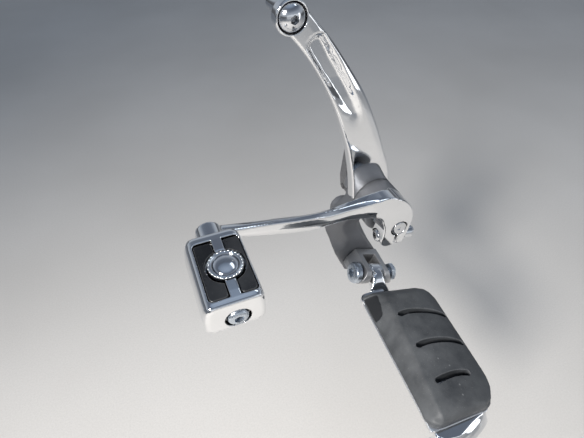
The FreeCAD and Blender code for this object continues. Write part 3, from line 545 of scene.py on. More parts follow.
def black_metal(name, tint=(0.020, 0.020, 0.022), rough=0.32):
    """Black oxide or satin black paint, worn grey on its edges."""
    n = Nodes(name)
    blotch = n.noise(90.0, 4.0, 0.6)
    grain = n.noise(1300.0, 3.0, 0.6)
    tone = n.mix(n.ramp(blotch, 0.35, 0.7), tuple(c * 0.7 for c in tint), tuple(c * 1.8 for c in tint))
    worn = n.math("MULTIPLY", n.edges(), n.ramp(grain, 0.35, 0.65, 0.3, 0.9))
    tone = n.mix(worn, tone, (0.26, 0.26, 0.27))
    n.set("Base Color", tone)
    n.set("Metallic", 0.55)
    n.set("Roughness", n.ramp(blotch, 0.3, 0.75, rough - 0.06, rough + 0.16))
    n.set("Normal", n.bump(grain, 0.16, 0.00008))
    return n.material


M_CHROME = chrome("plated_bright")
# the lever and bolt plating carry painted shade, near black, in their occluded gaps
M_CHROME_LEVER = chrome("plated_lever", gap_shade=True)
M_CHROME_BOLT = chrome("plated_bolt", (0.70, 0.715, 0.74), 0.08, 0.5, True)
M_CAST = cast_silver("cast_satin")
# lighter copy of the casting for the clevis: its raised tint is a painted lit tone, and its strong edge brightening a
# painted highlight
M_CLEVIS = cast_silver("cast_satin_fine_lit", (0.34, 0.345, 0.355), 0.34, 0.9)
M_TRAY = steel("tray_metal", (0.66, 0.67, 0.69), 0.30, 0.10)
M_ZINC = steel("zinc_plate", (0.50, 0.55, 0.61), 0.26, 0.14)
M_STEEL = steel("turned_steel", (0.50, 0.50, 0.51), 0.25, 0.16, (1.0, 6.0, 1.0))
M_BLACK = black_metal("satin_black")
M_OXIDE = black_metal("black_oxide", (0.030, 0.030, 0.032), 0.28)
M_BRONZE = steel("sinter_bronze", (0.50, 0.36, 0.18), 0.42, 0.25, metallic=0.9)
M_RUBBER = rubber("tread_rubber")
M_RUBBER_FINE = rubber("insert_rubber", (0.012, 0.013, 0.015), 0.28, 0.12)
# near-black rubber for the recessed patch at the tread's inner front corner
M_DARK_PATCH = rubber("dark_patch_rubber", (0.007, 0.008, 0.010), 0.60, 0.05)
FINISH = {
    "chrome": M_CHROME, "chrome_bolt": M_CHROME_BOLT, "silver_cast": M_CAST, "tray_aluminium": M_TRAY,
    "zinc_steel": M_ZINC, "plain_steel": M_STEEL, "black_steel": M_BLACK, "black_screw": M_OXIDE,
    "bush_bronze": M_BRONZE, "tread_rubber": M_RUBBER,
}


def paint(obj, material):
    obj.data.materials.clear()
    obj.data.materials.append(material)
    return obj


def piece(obj, name, material, body, nodes=()):
    """Finishes a new piece: its name, look, body and the CAD nodes it stands for."""
    rename(obj, name)
    paint(obj, material)
    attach(obj, body)
    if nodes:
        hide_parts(*nodes)
    return obj


# ------------------------------------------------------------------------------------
# camera, floor and light
# ------------------------------------------------------------------------------------
FLOOR = -0.324


def look(obj, place, forward, up):
    """Stands an object at a place, its -Z along forward."""
    forward = Vector(forward).normalized()
    right = forward.cross(Vector(up)).normalized()
    top = right.cross(forward)
    basis = Matrix((right, top, -forward)).transposed().to_4x4()
    obj.matrix_world = Matrix.Translation(place) @ basis


camera_data = bpy.data.cameras.new("camera")
camera_data.lens = 26.507
camera_data.sensor_width = 36.0
camera_data.sensor_fit = "HORIZONTAL"
camera_data.clip_start = 0.01
camera_data.clip_end = 50.0
camera = bpy.data.objects.new("camera", camera_data)
scene.collection.objects.link(camera)
look(camera, (-0.160295, -0.274189, 0.292744), (0.2726, 0.6748, -0.6858), (0.2569, 0.6359, 0.7278))
scene.camera = camera


def floor_mesh():
    """Plain pale floor."""
    reach, count = 4.5, 64
    points = [(reach * math.cos(2.0 * math.pi * k / count), reach * math.sin(2.0 * math.pi * k / count), FLOOR)
              for k in range(count)]
    faces = [tuple(range(count))]
    mesh = bpy.data.meshes.new("studio_floor")
    mesh.from_pydata(points, [], faces)
    obj = bpy.data.objects.new("studio_floor", mesh)
    scene.collection.objects.link(obj)
    shade(obj)
    n = Nodes("pale_floor")
    soft = n.noise(2.2, 3.0, 0.5)
    fine = n.noise(420.0, 4.0, 0.7)
    tone = n.mix(n.ramp(soft, 0.3, 0.7), (0.60, 0.575, 0.54), (0.68, 0.655, 0.62))
    tone = n.mix(n.ramp(fine, 0.35, 0.75, 0.0, 0.35), tone, (0.46, 0.44, 0.41))
    n.set("Base Color", tone)
    n.set("Roughness", n.ramp(fine, 0.3, 0.8, 0.75, 0.92))
    n.set("Normal", n.bump(fine, 0.25, 0.0006))
    paint(obj, n.material)
    return obj


floor_mesh()


def softbox(name, place, target, width, height, power, colour=(1.0, 1.0, 1.0)):
    data = bpy.data.lights.new(name, "AREA")
    data.shape = "RECTANGLE"
    data.size, data.size_y = width, height
    data.energy = power
    data.color = colour
    obj = bpy.data.objects.new(name, data)
    scene.collection.objects.link(obj)
    way = Vector(target) - Vector(place)
    look(obj, place, way, (0, 0, 1) if abs(way.normalized().z) < 0.98 else (0, 1, 0))
    return obj


key = softbox("key", (-1.15, -0.75, 0.98), (0.06, -0.48, -0.32), 0.38, 0.38, 15.5, (1.0, 0.975, 0.945))
key.data.spread = math.radians(100.0)
softbox("top", (0.55, 0.15, 1.30), (0.0, -0.10, 0.0), 0.9, 0.25, 1.5, (0.84, 0.92, 1.0))
softbox("side", (0.95, -0.85, 0.15), (0.02, -0.15, -0.02), 0.16, 0.7, 0.7, (0.95, 0.97, 1.0))
softbox("wall", (0.9, -2.4, 0.26), (0.5, 0.0, 0.05), 5.4, 1.1, 8.5, (0.95, 0.975, 1.0))
scene.view_settings.view_transform = "Standard"

world = bpy.data.worlds.new("studio")
scene.world = world
world.use_nodes = True
tree = world.node_tree
back = tree.nodes["Background"]
coord = tree.nodes.new("ShaderNodeTexCoord")
split = tree.nodes.new("ShaderNodeSeparateXYZ")
tree.links.new(coord.outputs["Generated"], split.inputs["Vector"])
steps = tree.nodes.new("ShaderNodeValToRGB")
tree.links.new(split.outputs["Z"], steps.inputs["Fac"])
ramp = steps.color_ramp
ramp.elements[0].position, ramp.elements[0].color = 0.0, (0.10, 0.105, 0.115, 1.0)
ramp.elements[1].position, ramp.elements[1].color = 1.0, (0.35, 0.42, 0.53, 1.0)
for position, colour in ((0.06, (0.12, 0.127, 0.14, 1.0)), (0.16, (0.40, 0.43, 0.47, 1.0)), (0.36, (0.36, 0.40, 0.46, 1.0)),
                         (0.62, (0.15, 0.175, 0.22, 1.0)), (0.80, (0.12, 0.14, 0.18, 1.0)),
                         (0.87, (0.20, 0.25, 0.33, 1.0))):
    stop = ramp.elements.new(position)
    stop.color = colour
tree.links.new(steps.outputs["Color"], back.inputs["Color"])
back.inputs["Strength"].default_value = 1.0

# ------------------------------------------------------------------------------------
# brace: a curved arm with a scooped face, from the upper eye down to its saddle
# ------------------------------------------------------------------------------------
# columns: left x, left z, right x, right z, outer y, inner y, land's slope, hollow
BRACE = [
    (-87.0, 160.5, -72.5, 172.0, 40.0, 49.0, 0.0, 0.0),
    (-79.0, 152.0, -63.5, 161.5, 40.0, 49.0, 0.10, 0.0),
    (-71.5, 142.5, -55.0, 152.0, 40.0, 49.0, 0.24, 0.0),
    (-59.4, 124.0, -42.0, 134.5, 40.0, 49.0, 0.24, 0.0),
    (-46.4, 97.8, -22.5, 105.0, 40.0, 49.0, 0.24, 0.0),
    (-38.1, 75.9, -11.0, 82.0, 40.0, 49.5, 0.22, 0.1),
    (-33.0, 60.9, -4.4, 66.5, 40.2, 50.0, 0.16, 0.15),
    (-28.7, 45.0, 2.0, 50.5, 41.0, 51.5, 0.08, 0.4),
    (-24.0, 24.5, 9.2, 34.0, 42.4, 53.5, 0.0, 0.4),
    (-21.0, 2.5, 14.2, 16.0, 43.4, 54.5, 0.0, 0.1),
]
LIP = np.array([
    (-61.0, 155.6), (-65.4, 154.8), (-69.0, 152.9), (-71.0, 150.0), (-70.8, 146.6), (-68.4, 141.6), (-62.6, 131.6),
    (-56.6, 120.6), (-49.6, 106.6), (-41.9, 91.8), (-37.2, 84.2), (-34.6, 80.6), (-31.8, 78.2), (-28.6, 77.4), (-26.0, 78.8),
    (-24.5, 82.6), (-24.2, 88.0), (-25.2, 94.0), (-27.4, 99.6), (-34.2, 113.2), (-41.5, 126.8), (-49.3, 140.1),
    (-55.3, 148.8), (-58.2, 153.6)])
BED = np.array([
    (-60.4, 150.6), (-63.6, 150.1), (-66.4, 147.8), (-67.0, 144.6), (-63.6, 138.6), (-56.4, 127.2), (-47.6, 114.6),
    (-39.4, 102.6), (-31.8, 92.6), (-30.2, 91.4), (-29.6, 93.2), (-33.0, 101.8), (-38.2, 112.2), (-46.4, 126.6),
    (-53.8, 138.8), (-58.0, 147.4)])


def edge_distance(points, polygon, blend=0.05):
    """Distance from each point to the nearest side of a polygon."""
    total = np.zeros(len(points))
    best = np.full(len(points), 1e9)
    for a, b in zip(polygon, np.roll(polygon, -1, axis=0)):
        ab = b - a
        t = np.clip(((points - a) @ ab) / max(ab @ ab, 1e-12), 0.0, 1.0)
        away = np.linalg.norm(points - (a + t[:, None] * ab), axis=1)
        best = np.minimum(best, away)
        total += np.exp(-away / blend)
    if blend > 0.1:
        soft = -blend * np.log(np.maximum(total, 1e-12))
        near = np.clip(best / (2.0 * blend), 0.0, 1.0)
        best = np.maximum(best * (1.0 - near) + np.maximum(soft, 0.0) * near, 0.35 * best)
    return best


def inside(points, polygon):
    """True for each point that lies in a polygon."""
    hit = np.zeros(len(points), bool)
    x, y = points[:, 0], points[:, 1]
    for (ax, ay), (bx, by) in zip(polygon, np.roll(polygon, -1, axis=0)):
        if ay == by:
            continue
        crosses = ((ay > y) != (by > y)) & (x < (bx - ax) * (y - ay) / (by - ay) + ax)
        hit ^= crosses
    return hit


def scoop_depth(points):
    """Depth of the brace's scoop at each point of its face."""
    wall = edge_distance(points, LIP, 1.3)
    bed = np.where(inside(points, BED), 0.0, edge_distance(points, BED))
    part = np.where(inside(points, LIP), wall / np.maximum(wall + bed, 1e-6), 0.0)
    part = 0.80 * part + 0.20 * part * part * (3.0 - 2.0 * part)
    deep = np.interp(points[:, 1], [78.0, 92.0, 106.0, 122.0, 150.0], [0.9, 1.1, 2.1, 3.8, 5.0])
    lean = 0.07 * ((points[:, 0] + 48.0) * 0.88 + (points[:, 1] - 112.0) * 0.47)
    return part * (deep + np.clip(lean, -0.5, 0.6))


rings = []
ACROSS = 88
for xa, za, xb, zb, out, back_y, land, hollow in smooth_rows(BRACE, 300):
    a, b = np.array((xa, za)), np.array((xb, zb))
    width = float(np.linalg.norm(b - a))
    side = (b - a) / width
    across = np.linspace(0.0, width, ACROSS)
    depth = np.where(across < 1.3, 1.5 * (1.0 - across / 1.3) ** 2, 0.0)
    depth = depth + np.where(across > width - 1.5, 1.4 * ((across - width + 1.5) / 1.5) ** 2, 0.0)
    depth = depth + land * np.clip(across - (width - 5.6), 0.0, 4.4)
    depth = depth + hollow * np.sin(np.pi * np.clip((across - 3.2) / (width - 7.5), 0.0, 1.0)) ** 1.3
    flat = a + across[:, None] * side
    depth = depth + scoop_depth(flat)
    ring = [(float(x), float(out + d), float(z)) for (x, z), d in zip(flat, depth)]
    for away, up in ((width, -1.2), (width - 1.2, 0.0), (1.2, 0.0), (0.0, -1.2)):
        x, z = a + side * away
        ring.append((float(x), back_y + up, float(z)))
    rings.append(ring)
brace = loft("brace", rings, SHAFT)
eye = lathe("eye", [(0.0, 40.0), (9.8, 40.0), (10.7, 40.5), (11.0, 41.4), (11.0, 48.0), (10.4, 49.0), (0.0, 49.0)],
            SHAFT, (-80.0, 0.0, 165.5))
brace = join("brace", [brace, eye])
brace = remesh(brace, 0.5, 1)
brace = cut(brace, lathe("seat", [(0.0, 0.0), (20.1, 0.0), (20.1, 80.0), (0.0, 80.0)], SHAFT, steps=160))
brace = cut(brace, lathe("sink", [(0.0, 30.0), (9.5, 30.0), (9.5, 41.6), (9.3, 42.4), (5.6, 43.6), (5.6, 60.0), (0.0, 60.0)],
                         SHAFT, (-80.0, 0.0, 165.5), steps=120))
brace = remesh(brace, 0.5, 3)
piece(brace, "brace_arm", M_CHROME, "bracket", ["support_arm"])

# ------------------------------------------------------------------------------------
# gear lever: faceted arm, clamp hub, toe boss
# ------------------------------------------------------------------------------------
# columns: x, outboard y, inboard y, low z, top z at the back, top z at the crease, front edge z
LEVER = [
    (-152.0, -6.0, 1.3, 50.0, 58.0, 58.4, 57.4),
    (-135.5, -5.0, 3.0, 45.2, 53.0, 54.0, 53.1),
    (-120.0, -4.0, 4.0, 39.8, 48.8, 50.6, 49.8),
    (-106.7, -3.0, 5.1, 35.2, 45.6, 47.6, 46.6),
    (-95.0, -2.1, 6.0, 31.4, 42.4, 44.5, 43.4),
    (-80.0, -0.8, 7.2, 27.2, 38.6, 41.3, 39.6),
    (-65.0, 0.5, 8.4, 25.7, 36.8, 38.8, 35.6),
    (-50.0, 1.2, 9.6, 24.9, 37.4, 37.6, 35.2),
    (-38.0, 0.5, 10.4, 22.8, 38.0, 37.9, 35.8),
    (-25.0, -0.35, 11.3, 19.8, 38.2, 38.2, 37.0),
    (-12.0, 0.9, 12.0, 16.0, 37.2, 37.0, 36.0),
]
rings = []
for x, out, inner, low, top, crease, front in smooth_rows(LEVER, 60):
    ridge = low + 0.45 * (front - low)
    rings.append([(x, y, z) for y, z in (
        (inner, top - 0.8), (inner - 0.7, top), (out + 3.6, crease), (out + 3.1, crease - 0.05),
        (out + 0.75, front + 0.35), (out + 0.5, front), (out, ridge + 0.4), (out, ridge - 0.3), (out + 1.0, low + 0.8),
        (out + 1.5, low + 0.2), (out + 2.2, low),
        (inner - 1.6, low), (inner - 0.4, low + 0.5), (inner, low + 1.6))])
lever = loft("lever", rings, SHAFT)
toe_boss = lathe("toe_boss", [
    (0.0, -18.0), (8.6, -18.0), (8.6, 0.4), (8.2, 1.2), (7.2, 1.5), (4.6, 1.5), (4.3, 0.9), (0.0, 0.9)],
    TOE, (-155.8, 0.0, 54.0), steps=96)
HUB = path((-26.0, 36.2), [
    (-15.5, 37.8, -6.0, 34.0), (6.0, 24.0, 12.0, 8.0), (9.2, -9.0, 6.0, -17.8),
    (-4.0, -18.0), (-12.0, -17.0, -15.5, -8.0), (-14.5, 2.0, -17.0, 10.5),
    (-20.0, 17.0, -26.0, 20.5), (-26.0, 36.2)], 24)
PINCH = SHAFT @ Matrix.Translation((-14.0, 9.5, -11.2)) @ turn("Z", -6.3) @ turn("Y", 4.1)
hub = prism("hub", HUB, 0.0, 16.0, SHAFT)
hub = cut(hub, prism("relief", [(-40.0, 11.8), (-12.0, 11.8), (-6.0, 17.0), (-40.0, 17.0)], 11.5, 60.0, SHAFT, "xy"))
hub = bevel(hub, 0.9, 3, 35.0)
lever = join("lever", [lever, toe_boss, hub])
lever = remesh(lever, 0.5, 1)
lever = cut(lever, prism("slit", [(-2.2, -4.0), (0.2, -4.0), (-1.2, -30.0), (-3.8, -30.0)], -2.0, 20.0, SHAFT))
lever = cut(lever, lathe("hole", [(0.0, -5.0), (7.9, -0.8), (7.4, 0.3), (7.4, 15.4), (7.8, 17.0), (0.0, 20.0)], SHAFT, steps=96))
lever = cut(lever, lathe("pinch_seat", [(0.0, -40.0), (6.3, -40.0), (6.3, -7.0), (3.1, -7.0), (3.1, 9.4), (6.5, 9.4), (6.5, 40.0), (0.0, 40.0)],
                         PINCH, (14.0, 0.0, 0.0), "X"))
lever = remesh(lever, 0.5, 3)
piece(lever, "gear_lever", M_CHROME_LEVER, "lever", ["shift_lever"])

# ------------------------------------------------------------------------------------
# toe peg: rounded body with a recessed top, spine, inserts, stud and end screw
# ------------------------------------------------------------------------------------
TOE_X, TOE_Z = -155.8, 54.0
PEG_MID = -43.5
peg_rows = []
# columns: y, inset (the same for the sides and the top)
for y, inset in ((-14.4, 3.4), (-14.9, 2.0), (-16.2, 0.9), (-18.4, 0.25), (-22.0, 0.0), (-60.0, 0.0),
                 (-65.0, 0.2), (-66.8, 0.9), (-67.6, 1.8), (-68.0, 3.2)):
    ring = []
    for k in range(96):
        a = 2.0 * math.pi * k / 96
        c, d = math.cos(a), math.sin(a)
        power = 2.0 / 7.5
        hx = 16.4 - inset
        hz = 13.0 - inset
        x = hx * math.copysign(abs(c) ** power, c)
        z = hz * math.copysign(abs(d) ** power, d)
        swell = 1.0 - (z / 13.0 + 0.15) ** 2
        low = 1.0 - ((z + 4.0) / 15.0) ** 2
        wide = 1.0 + (0.075 * swell if x > 0 else 0.165 * low)
        ring.append((TOE_X + x * wide - 0.5, y, 57.3 + z))
    peg_rows.append(ring)
peg = loft("peg", peg_rows, TOE)
panel = prism("panel", round_box(14.2, 21.0, 2.8, (TOE_X + 0.3, PEG_MID + 0.8)), 67.2, 75.0, TOE, "xy")
bar = prism("bar", round_box(3.0, 23.0, 0.6, (TOE_X + 0.9, PEG_MID + 0.8)), 60.0, 80.0, TOE, "xy")
panel = cut(panel, bar)
peg = cut(peg, panel)
peg = cut(peg, lathe("stud_pocket", [(0.0, 66.0), (10.9, 66.0), (10.9, 80.0), (0.0, 80.0)], TOE,
                     (TOE_X + 1.3, PEG_MID + 1.4, 0.0), "Z"))
peg = cut(peg, lathe("peg_seat", [(0.0, -64.6), (7.7, -64.6), (7.7, -67.8), (8.1, -68.3), (8.6, -75.0), (0.0, -75.0)], TOE,
                     (TOE_X, 0.0, TOE_Z), steps=96))
peg = remesh(peg, 0.38, 1)
piece(peg, "toe_peg_body", M_CHROME_LEVER, "lever", ["toe_peg_cover"])

inserts = []
for side in (-1, 1):
    outline = round_box(5.35 if side < 0 else 4.75, 20.1, 2.2,
                        (TOE_X + (-8.0 if side < 0 else 9.2), PEG_MID + 0.8))
    block = prism("insert", outline, 66.8, 69.2, TOE, "xy")
    block = cut(block, lathe("gap", [(0.0, 60.0), (11.9, 60.0), (11.9, 80.0), (0.0, 80.0)], TOE,
                             (TOE_X + 1.3, PEG_MID + 1.4, 0.0), "Z"))
    inserts.append(block)
inserts = join("inserts", inserts)
inserts = remesh(inserts, 0.35, 3)
piece(inserts, "toe_peg_inserts", M_RUBBER_FINE, "lever", ["toe_peg_treads"])

stud = lathe("stud", [
    (0.0, 66.4), (10.2, 66.4), (10.3, 69.6), (10.0, 70.3), (9.4, 70.8), (8.7, 70.9), (8.1, 70.5), (7.7, 69.9),
    (7.45, 69.5), (7.2, 69.9), (6.6, 70.5), (5.0, 71.2), (2.6, 71.65), (0.0, 71.8)], TOE,
    (TOE_X + 1.3, PEG_MID + 1.4, 0.0), "Z", 96)
beads = []
for k in range(28):
    a = 2.0 * math.pi * k / 28
    x, y = TOE_X + 1.3 + 9.75 * math.cos(a), PEG_MID + 1.4 + 9.75 * math.sin(a)
    beads.append(lathe("bead", [(0.0, 0.0)] + [
        (0.85 * math.sin(math.pi * m / 8), 0.85 - 0.85 * math.cos(math.pi * m / 8)) for m in range(1, 8)] + [(0.0, 1.7)],
        TOE, (x, y, 69.4), "Z", 14))
stud = join("stud", [stud] + beads)
shade(stud, 50.0)
piece(stud, "toe_peg_button", M_CHROME_BOLT, "lever", ["toe_peg_stud"])


def hex_socket(radius, low, high, frame_matrix, at, axis, sides=6, star=0.0):
    """Tool for a wrench socket: six flats, or a rounded six-point star."""
    outline = []
    if star:
        for k in range(72):
            a = 2.0 * math.pi * k / 72
            r = radius * (1.0 - star * (0.5 - 0.5 * math.cos(6.0 * a)) ** 0.8)
            outline.append((r * math.cos(a), r * math.sin(a)))
    else:
        for k in range(sides):
            a = 2.0 * math.pi * (k + 0.5) / sides
            outline.append((radius * math.cos(a), radius * math.sin(a)))
    place = {"Y": Matrix.Identity(4), "X": turn("Z", -90.0)}[axis]
    rings = [[tuple((place @ Vector((a, c, b))) + Vector(at)) for a, b in outline] for c in (low, high)]
    return loft("socket", rings, frame_matrix)


toe_screw = lathe("toe_screw", [
    (0.0, -69.2), (3.6, -69.2), (4.7, -68.95), (5.7, -68.2), (6.3, -67.2), (6.5, -66.2), (6.5, -64.9), (4.0, -64.9),
    (4.0, 4.2), (3.4, 4.6), (0.0, 4.6)], TOE, (TOE_X, 0.0, TOE_Z), "Y", 72)
toe_screw = cut(toe_screw, hex_socket(3.0, -70.5, -65.6, TOE, (TOE_X, 0.0, TOE_Z), "Y"))
shade(toe_screw, 35.0)
piece(toe_screw, "toe_peg_end_screw", M_ZINC, "lever", ["toe_peg_screw"])

# ------------------------------------------------------------------------------------
# bracket: boss, curved neck, mounting pad, lug
# ------------------------------------------------------------------------------------
to_shaft = SHAFT.inverted() @ PIN
NECK = [
    [(-20, 38, 4), (-16, 31, 4), (8, 30, 4), (12, 44, 4), (8, 58, 4), (-17, 58, 4)],
    [(-43.5, 50.5, -24), (-31.0, 40.5, -23), (-15.5, 38.5, -22), (-8, 50, -24), (-12, 63, -26), (-35, 61, -27)],
    [(-39.5, 47, -43), (-26.8, 39, -34), (-8.5, 37.5, -39), (-1, 46, -48), (-5, 60, -57), (-30, 57, -57)],
    [tuple(to_shaft @ Vector((x, 24.0, z))) for x, z in (
        (-31.0, 0.0), (-21.0, 16.5), (0.5, 15.0), (13.0, 6.0), (12.0, -19.0), (-11.0, -22.0))],
]
flat = [[v for corner in row for v in corner] for row in NECK]
rings = []
for row in smooth_rows(flat, 26):
    corners = [Vector(row[3 * k:3 * k + 3]) for k in range(6)]
    ring = []
    for k in range(6):
        here, before, after = corners[k], corners[k - 1], corners[(k + 1) % 6]
        for other in (before, after):
            step = other - here
            ring.append(tuple(here + step * min(1.1 / step.length, 0.4)))
    rings.append(ring)
neck = loft("neck", rings, SHAFT)
boss = lathe("boss", [(0.0, 22.0), (18.8, 22.0), (19.6, 22.35), (20.0, 23.2), (20.0, 59.0), (19.2, 60.0), (0.0, 60.0)], SHAFT, steps=120)
pad_outline = path((-10.0, -18.0), [(0.0, -28.0, 10.0, -18.0), (10.0, 18.0), (0.0, 28.0, -10.0, 18.0), (-10.0, -18.0)], 24)
foot = prism("foot", pad_outline, -14.0, 0.0, ROW)
lug = prism("lug", path((-22.0, 8.0), [(-17.5, 33.0), (-8.0, 41.0, 1.5, 33.0), (16.0, 8.0), (-22.0, 8.0)], 20), 54.8, 61.0, SHAFT)
web = loft("web", [
    [(-16, 58, -10), (12, 58, -10), (12, 62, 12), (-16, 62, 12)],
    [(-30, 62.5, -34), (-14, 62.5, -34), (-14, 62.5, 6), (-30, 62.5, 6)]], SHAFT)
bracket = join("bracket", [neck, boss, foot, lug])
drop(web)
bracket = remesh(bracket, 0.7, 2)
bracket = cut(bracket, lathe("bush_hole", [(0.0, 15.0), (11.0, 20.5), (9.5, 22.6), (9.5, 72.0), (0.0, 72.0)], SHAFT, steps=96))
for side in (-18.0, 18.0):
    bracket = cut(bracket, lathe("tapped", [(0.0, -12.0), (4.25, -12.0), (4.25, -0.8), (5.4, 0.4), (5.4, 3.0), (0.0, 3.0)], ROW, (0.0, 0.0, side)))
bracket = cut(bracket, lathe("brace_hole", [(0.0, 50.0), (3.05, 50.0), (3.05, 70.0), (0.0, 70.0)], SHAFT, (-8.0, 0.0, 31.0)))
bracket = cut(bracket, lathe("clevis_hole", [(0.0, 22.0), (5.2, 22.0), (5.2, 38.0), (8.7, 38.0), (8.7, 86.0), (0.0, 86.0)], PIN))
shade(bracket, 38.0)
piece(bracket, "bracket_casting", M_CAST, "bracket", ["peg_bracket"])

# ------------------------------------------------------------------------------------
# clevis and pin
# ------------------------------------------------------------------------------------
clevis = prism("clevis", [(-12.0, 8.5), (12.0, 8.5), (17.5, -3.0), (17.5, -10.5), (-17.5, -10.5), (-17.5, -3.0)],
               -10.5, 24.0, PIN)
nose = path((0.0, 10.5), [(-7.42, 7.42, -10.5, 0.0), (-7.42, -7.42, 0.0, -10.5), (26.0, -10.5), (26.0, 10.5), (0.0, 10.5)], 16)
clevis = common(clevis, prism("nose", nose, -30.0, 30.0, PIN, "yz"))
clevis = cut(clevis, prism("slot", [(-7.0, 16.5), (-7.0, -30.0), (7.0, -30.0), (7.0, 16.5)], -30.0, 30.0, PIN, "xy"))
clevis = cut(clevis, lathe("spot", [(0.0, -30.0), (10.4, -30.0), (10.4, -16.9), (0.0, -16.9)], PIN, (0, 0, 0), "X"))
clevis = remesh(clevis, 0.45, 3)
clevis = cut(clevis, lathe("pin_bore", [(0.0, -40.0), (5.03, -40.0), (5.03, 40.0), (0.0, 40.0)], PIN, (0, 0, 0), "X"))
shade(clevis, 38.0)
piece(clevis, "clevis_casting", M_CLEVIS, "bracket", ["peg_clevis"])

bolt = lathe("bolt", [
    (0.0, -23.7), (6.2, -23.6), (8.0, -23.2), (9.2, -22.5), (9.8, -21.6), (10.0, -20.6),
    (10.0, -17.3), (9.7, -16.9), (5.0, -16.9), (5.0, 21.0), (4.3, 21.5), (0.0, 21.5)], PIN, (0, 0, 0), "X", 96)
bolt = cut(bolt, hex_socket(5.0, -26.0, -18.6, PIN, (0, 0, 0), "X", star=0.27))
shade(bolt, 35.0)
piece(bolt, "pin_with_star_socket", M_ZINC, "bracket", ["pivot_bolt"])

hex_ring = [(8.9 * math.cos(math.pi * (k + 0.5) / 3), 8.9 * math.sin(math.pi * (k + 0.5) / 3)) for k in range(6)]
nut = loft("nut", [[(c, b, a) for a, b in hex_ring] for c in (17.5, 22.0)], PIN)
nut = common(nut, lathe("nut_turn", [(0.0, 17.4), (8.0, 17.4), (8.95, 18.1), (8.95, 21.0), (7.4, 22.1), (0.0, 22.1)], PIN, (0, 0, 0), "X", 96))
nut = cut(nut, lathe("nut_bore", [(0.0, 10.0), (5.05, 10.0), (5.05, 21.4), (5.9, 22.6), (0.0, 22.7)], PIN, (0, 0, 0), "X"))
shade(nut, 30.0)
piece(nut, "pin_nut", M_ZINC, "bracket", ["pivot_nut"])

# upper screw of the brace: domed head
dome = lathe("dome", [
    (0.0, 36.6), (2.0, 36.75), (4.2, 37.3), (6.1, 38.3), (7.7, 39.8), (8.7, 41.3), (9.2, 42.8), (9.3, 43.6), (9.0, 44.0),
    (5.4, 44.0), (5.4, 49.0), (5.0, 49.6), (5.0, 74.2), (4.2, 75.0), (0.0, 75.0)], SHAFT, (-80.0, 0.0, 165.5), "Y", 96)
dome = cut(dome, hex_socket(2.9, 35.0, 40.6, SHAFT, (-80.0, 0.0, 165.5), "Y"))
shade(dome, 35.0)
piece(dome, "brace_upper_screw", M_CHROME_BOLT, "bracket", ["support_arm_bolt"])

pinch = lathe("pinch", [
    (0.0, -16.3), (3.6, -16.3), (4.8, -15.7), (5.6, -14.5), (5.8, -13.2), (5.8, -7.0), (3.0, -7.0), (3.0, 9.5), (5.7, 9.5),
    (6.0, 9.9), (6.0, 16.4), (5.4, 17.2), (3.6, 17.2), (3.6, 19.0), (3.1, 19.6), (0.0, 19.6)],
    PINCH, (14.0, 0.0, 0.0), "X", 64)
pinch = cut(pinch, hex_socket(3.1, -18.0, -12.4, PINCH, (14.0, 0.0, 0.0), "X"))
shade(pinch, 35.0)
piece(pinch, "hub_clamp_screw", M_CHROME_BOLT, "lever", ["lever_pinch_bolt"])

shaft = lathe("shaft", [
    (0.0, 0.5), (1.1, 0.5), (1.7, -0.1), (5.9, -0.3), (6.4, -0.1), (6.65, 0.4), (6.65, 2.5), (7.0, 2.9), (7.0, 87.5),
    (6.0, 88.5), (0.0, 88.5)], SHAFT, steps=96)
shade(shaft, 35.0)
piece(shaft, "cross_shaft", M_CHROME_BOLT, "lever", ["shift_shaft"])

# ------------------------------------------------------------------------------------
# footrest: core, tray, tread, end cap
# ------------------------------------------------------------------------------------
tongue = lathe("tongue", [(0.0, -6.0), (8.2, -6.0), (9.0, -5.2), (9.0, 5.2), (8.2, 6.0), (0.0, 6.0)], PIN, (0, 0, 0), "X", 96)
stalk_rows = []
# columns: y, half width, underside, top (tread's frame); the corner power is a fixed 0.45
for y, half, low, high in smooth_rows([
        (2.0, 6.0, -6.5, 6.5), (-6.0, 6.0, -8.6, 8.4), (-11.0, 6.2, -9.0, 6.6), (-15.0, 7.2, -9.6, 2.0), (-18.5, 9.6, -10.6, -2.8),
        (-22.0, 11.0, -12.0, -6.6), (-28.0, 11.0, -13.8, -7.3), (-44.0, 9.6, -15.0, -7.4), (-122.0, 9.0, -15.0, -7.4)], 60):
    ring = []
    for k in range(48):
        a = 2.0 * math.pi * k / 48
        c, d = math.cos(a), math.sin(a)
        ring.append((half * math.copysign(abs(c) ** 0.45, c), y,
                     (low + high) / 2.0 + (high - low) / 2.0 * math.copysign(abs(d) ** 0.45, d)))
    stalk_rows.append(ring)
stalk = loft("stalk", stalk_rows, TREAD)
core = join("core", [tongue, stalk])
core = remesh(core, 0.55, 3)
core = cut(core, lathe("core_bore", [(0.0, -40.0), (5.05, -40.0), (5.05, 40.0), (0.0, 40.0)], PIN, (0, 0, 0), "X"))
shade(core, 38.0)
piece(core, "footrest_core", M_CHROME, "footpeg", ["footpeg_core"])

TRAY = path((-21.5, -27.0), [(-20.0, -22.0), (-8.0, -21.0), (32.0, -23.0), (43.0, -28.0, 48.0, -42.0), (46.6, -113.0),
                             (43.2, -128.8, 35.2, -139.0), (32.0, -142.6, 27.0, -143.2), (-8.0, -146.3), (-20.5, -146.3), (-21.5, -27.0)], 16)
tray = prism("tray", TRAY, -7.5, -5.0, TREAD, "xy")
tray = bevel(tray, 0.7, 3, 40.0)
piece(tray, "footrest_tray", M_TRAY, "footpeg", ["footpeg_tray"])
lip = prism("lip", path((-22.0, -30.0), [(-22.0, -24.4, -17.6, -21.0), (-8.0, -19.5), (3.0, -19.4), (3.0, -21.9), (-8.0, -22.1),
                                         (-16.8, -23.6), (-19.6, -25.6, -19.7, -30.0), (-22.0, -30.0)], 10), -7.5, -2.6, TREAD, "xy")
lip = bevel(lip, 0.8, 3, 40.0)
piece(lip, "footrest_tray_lip", M_CHROME, "footpeg")

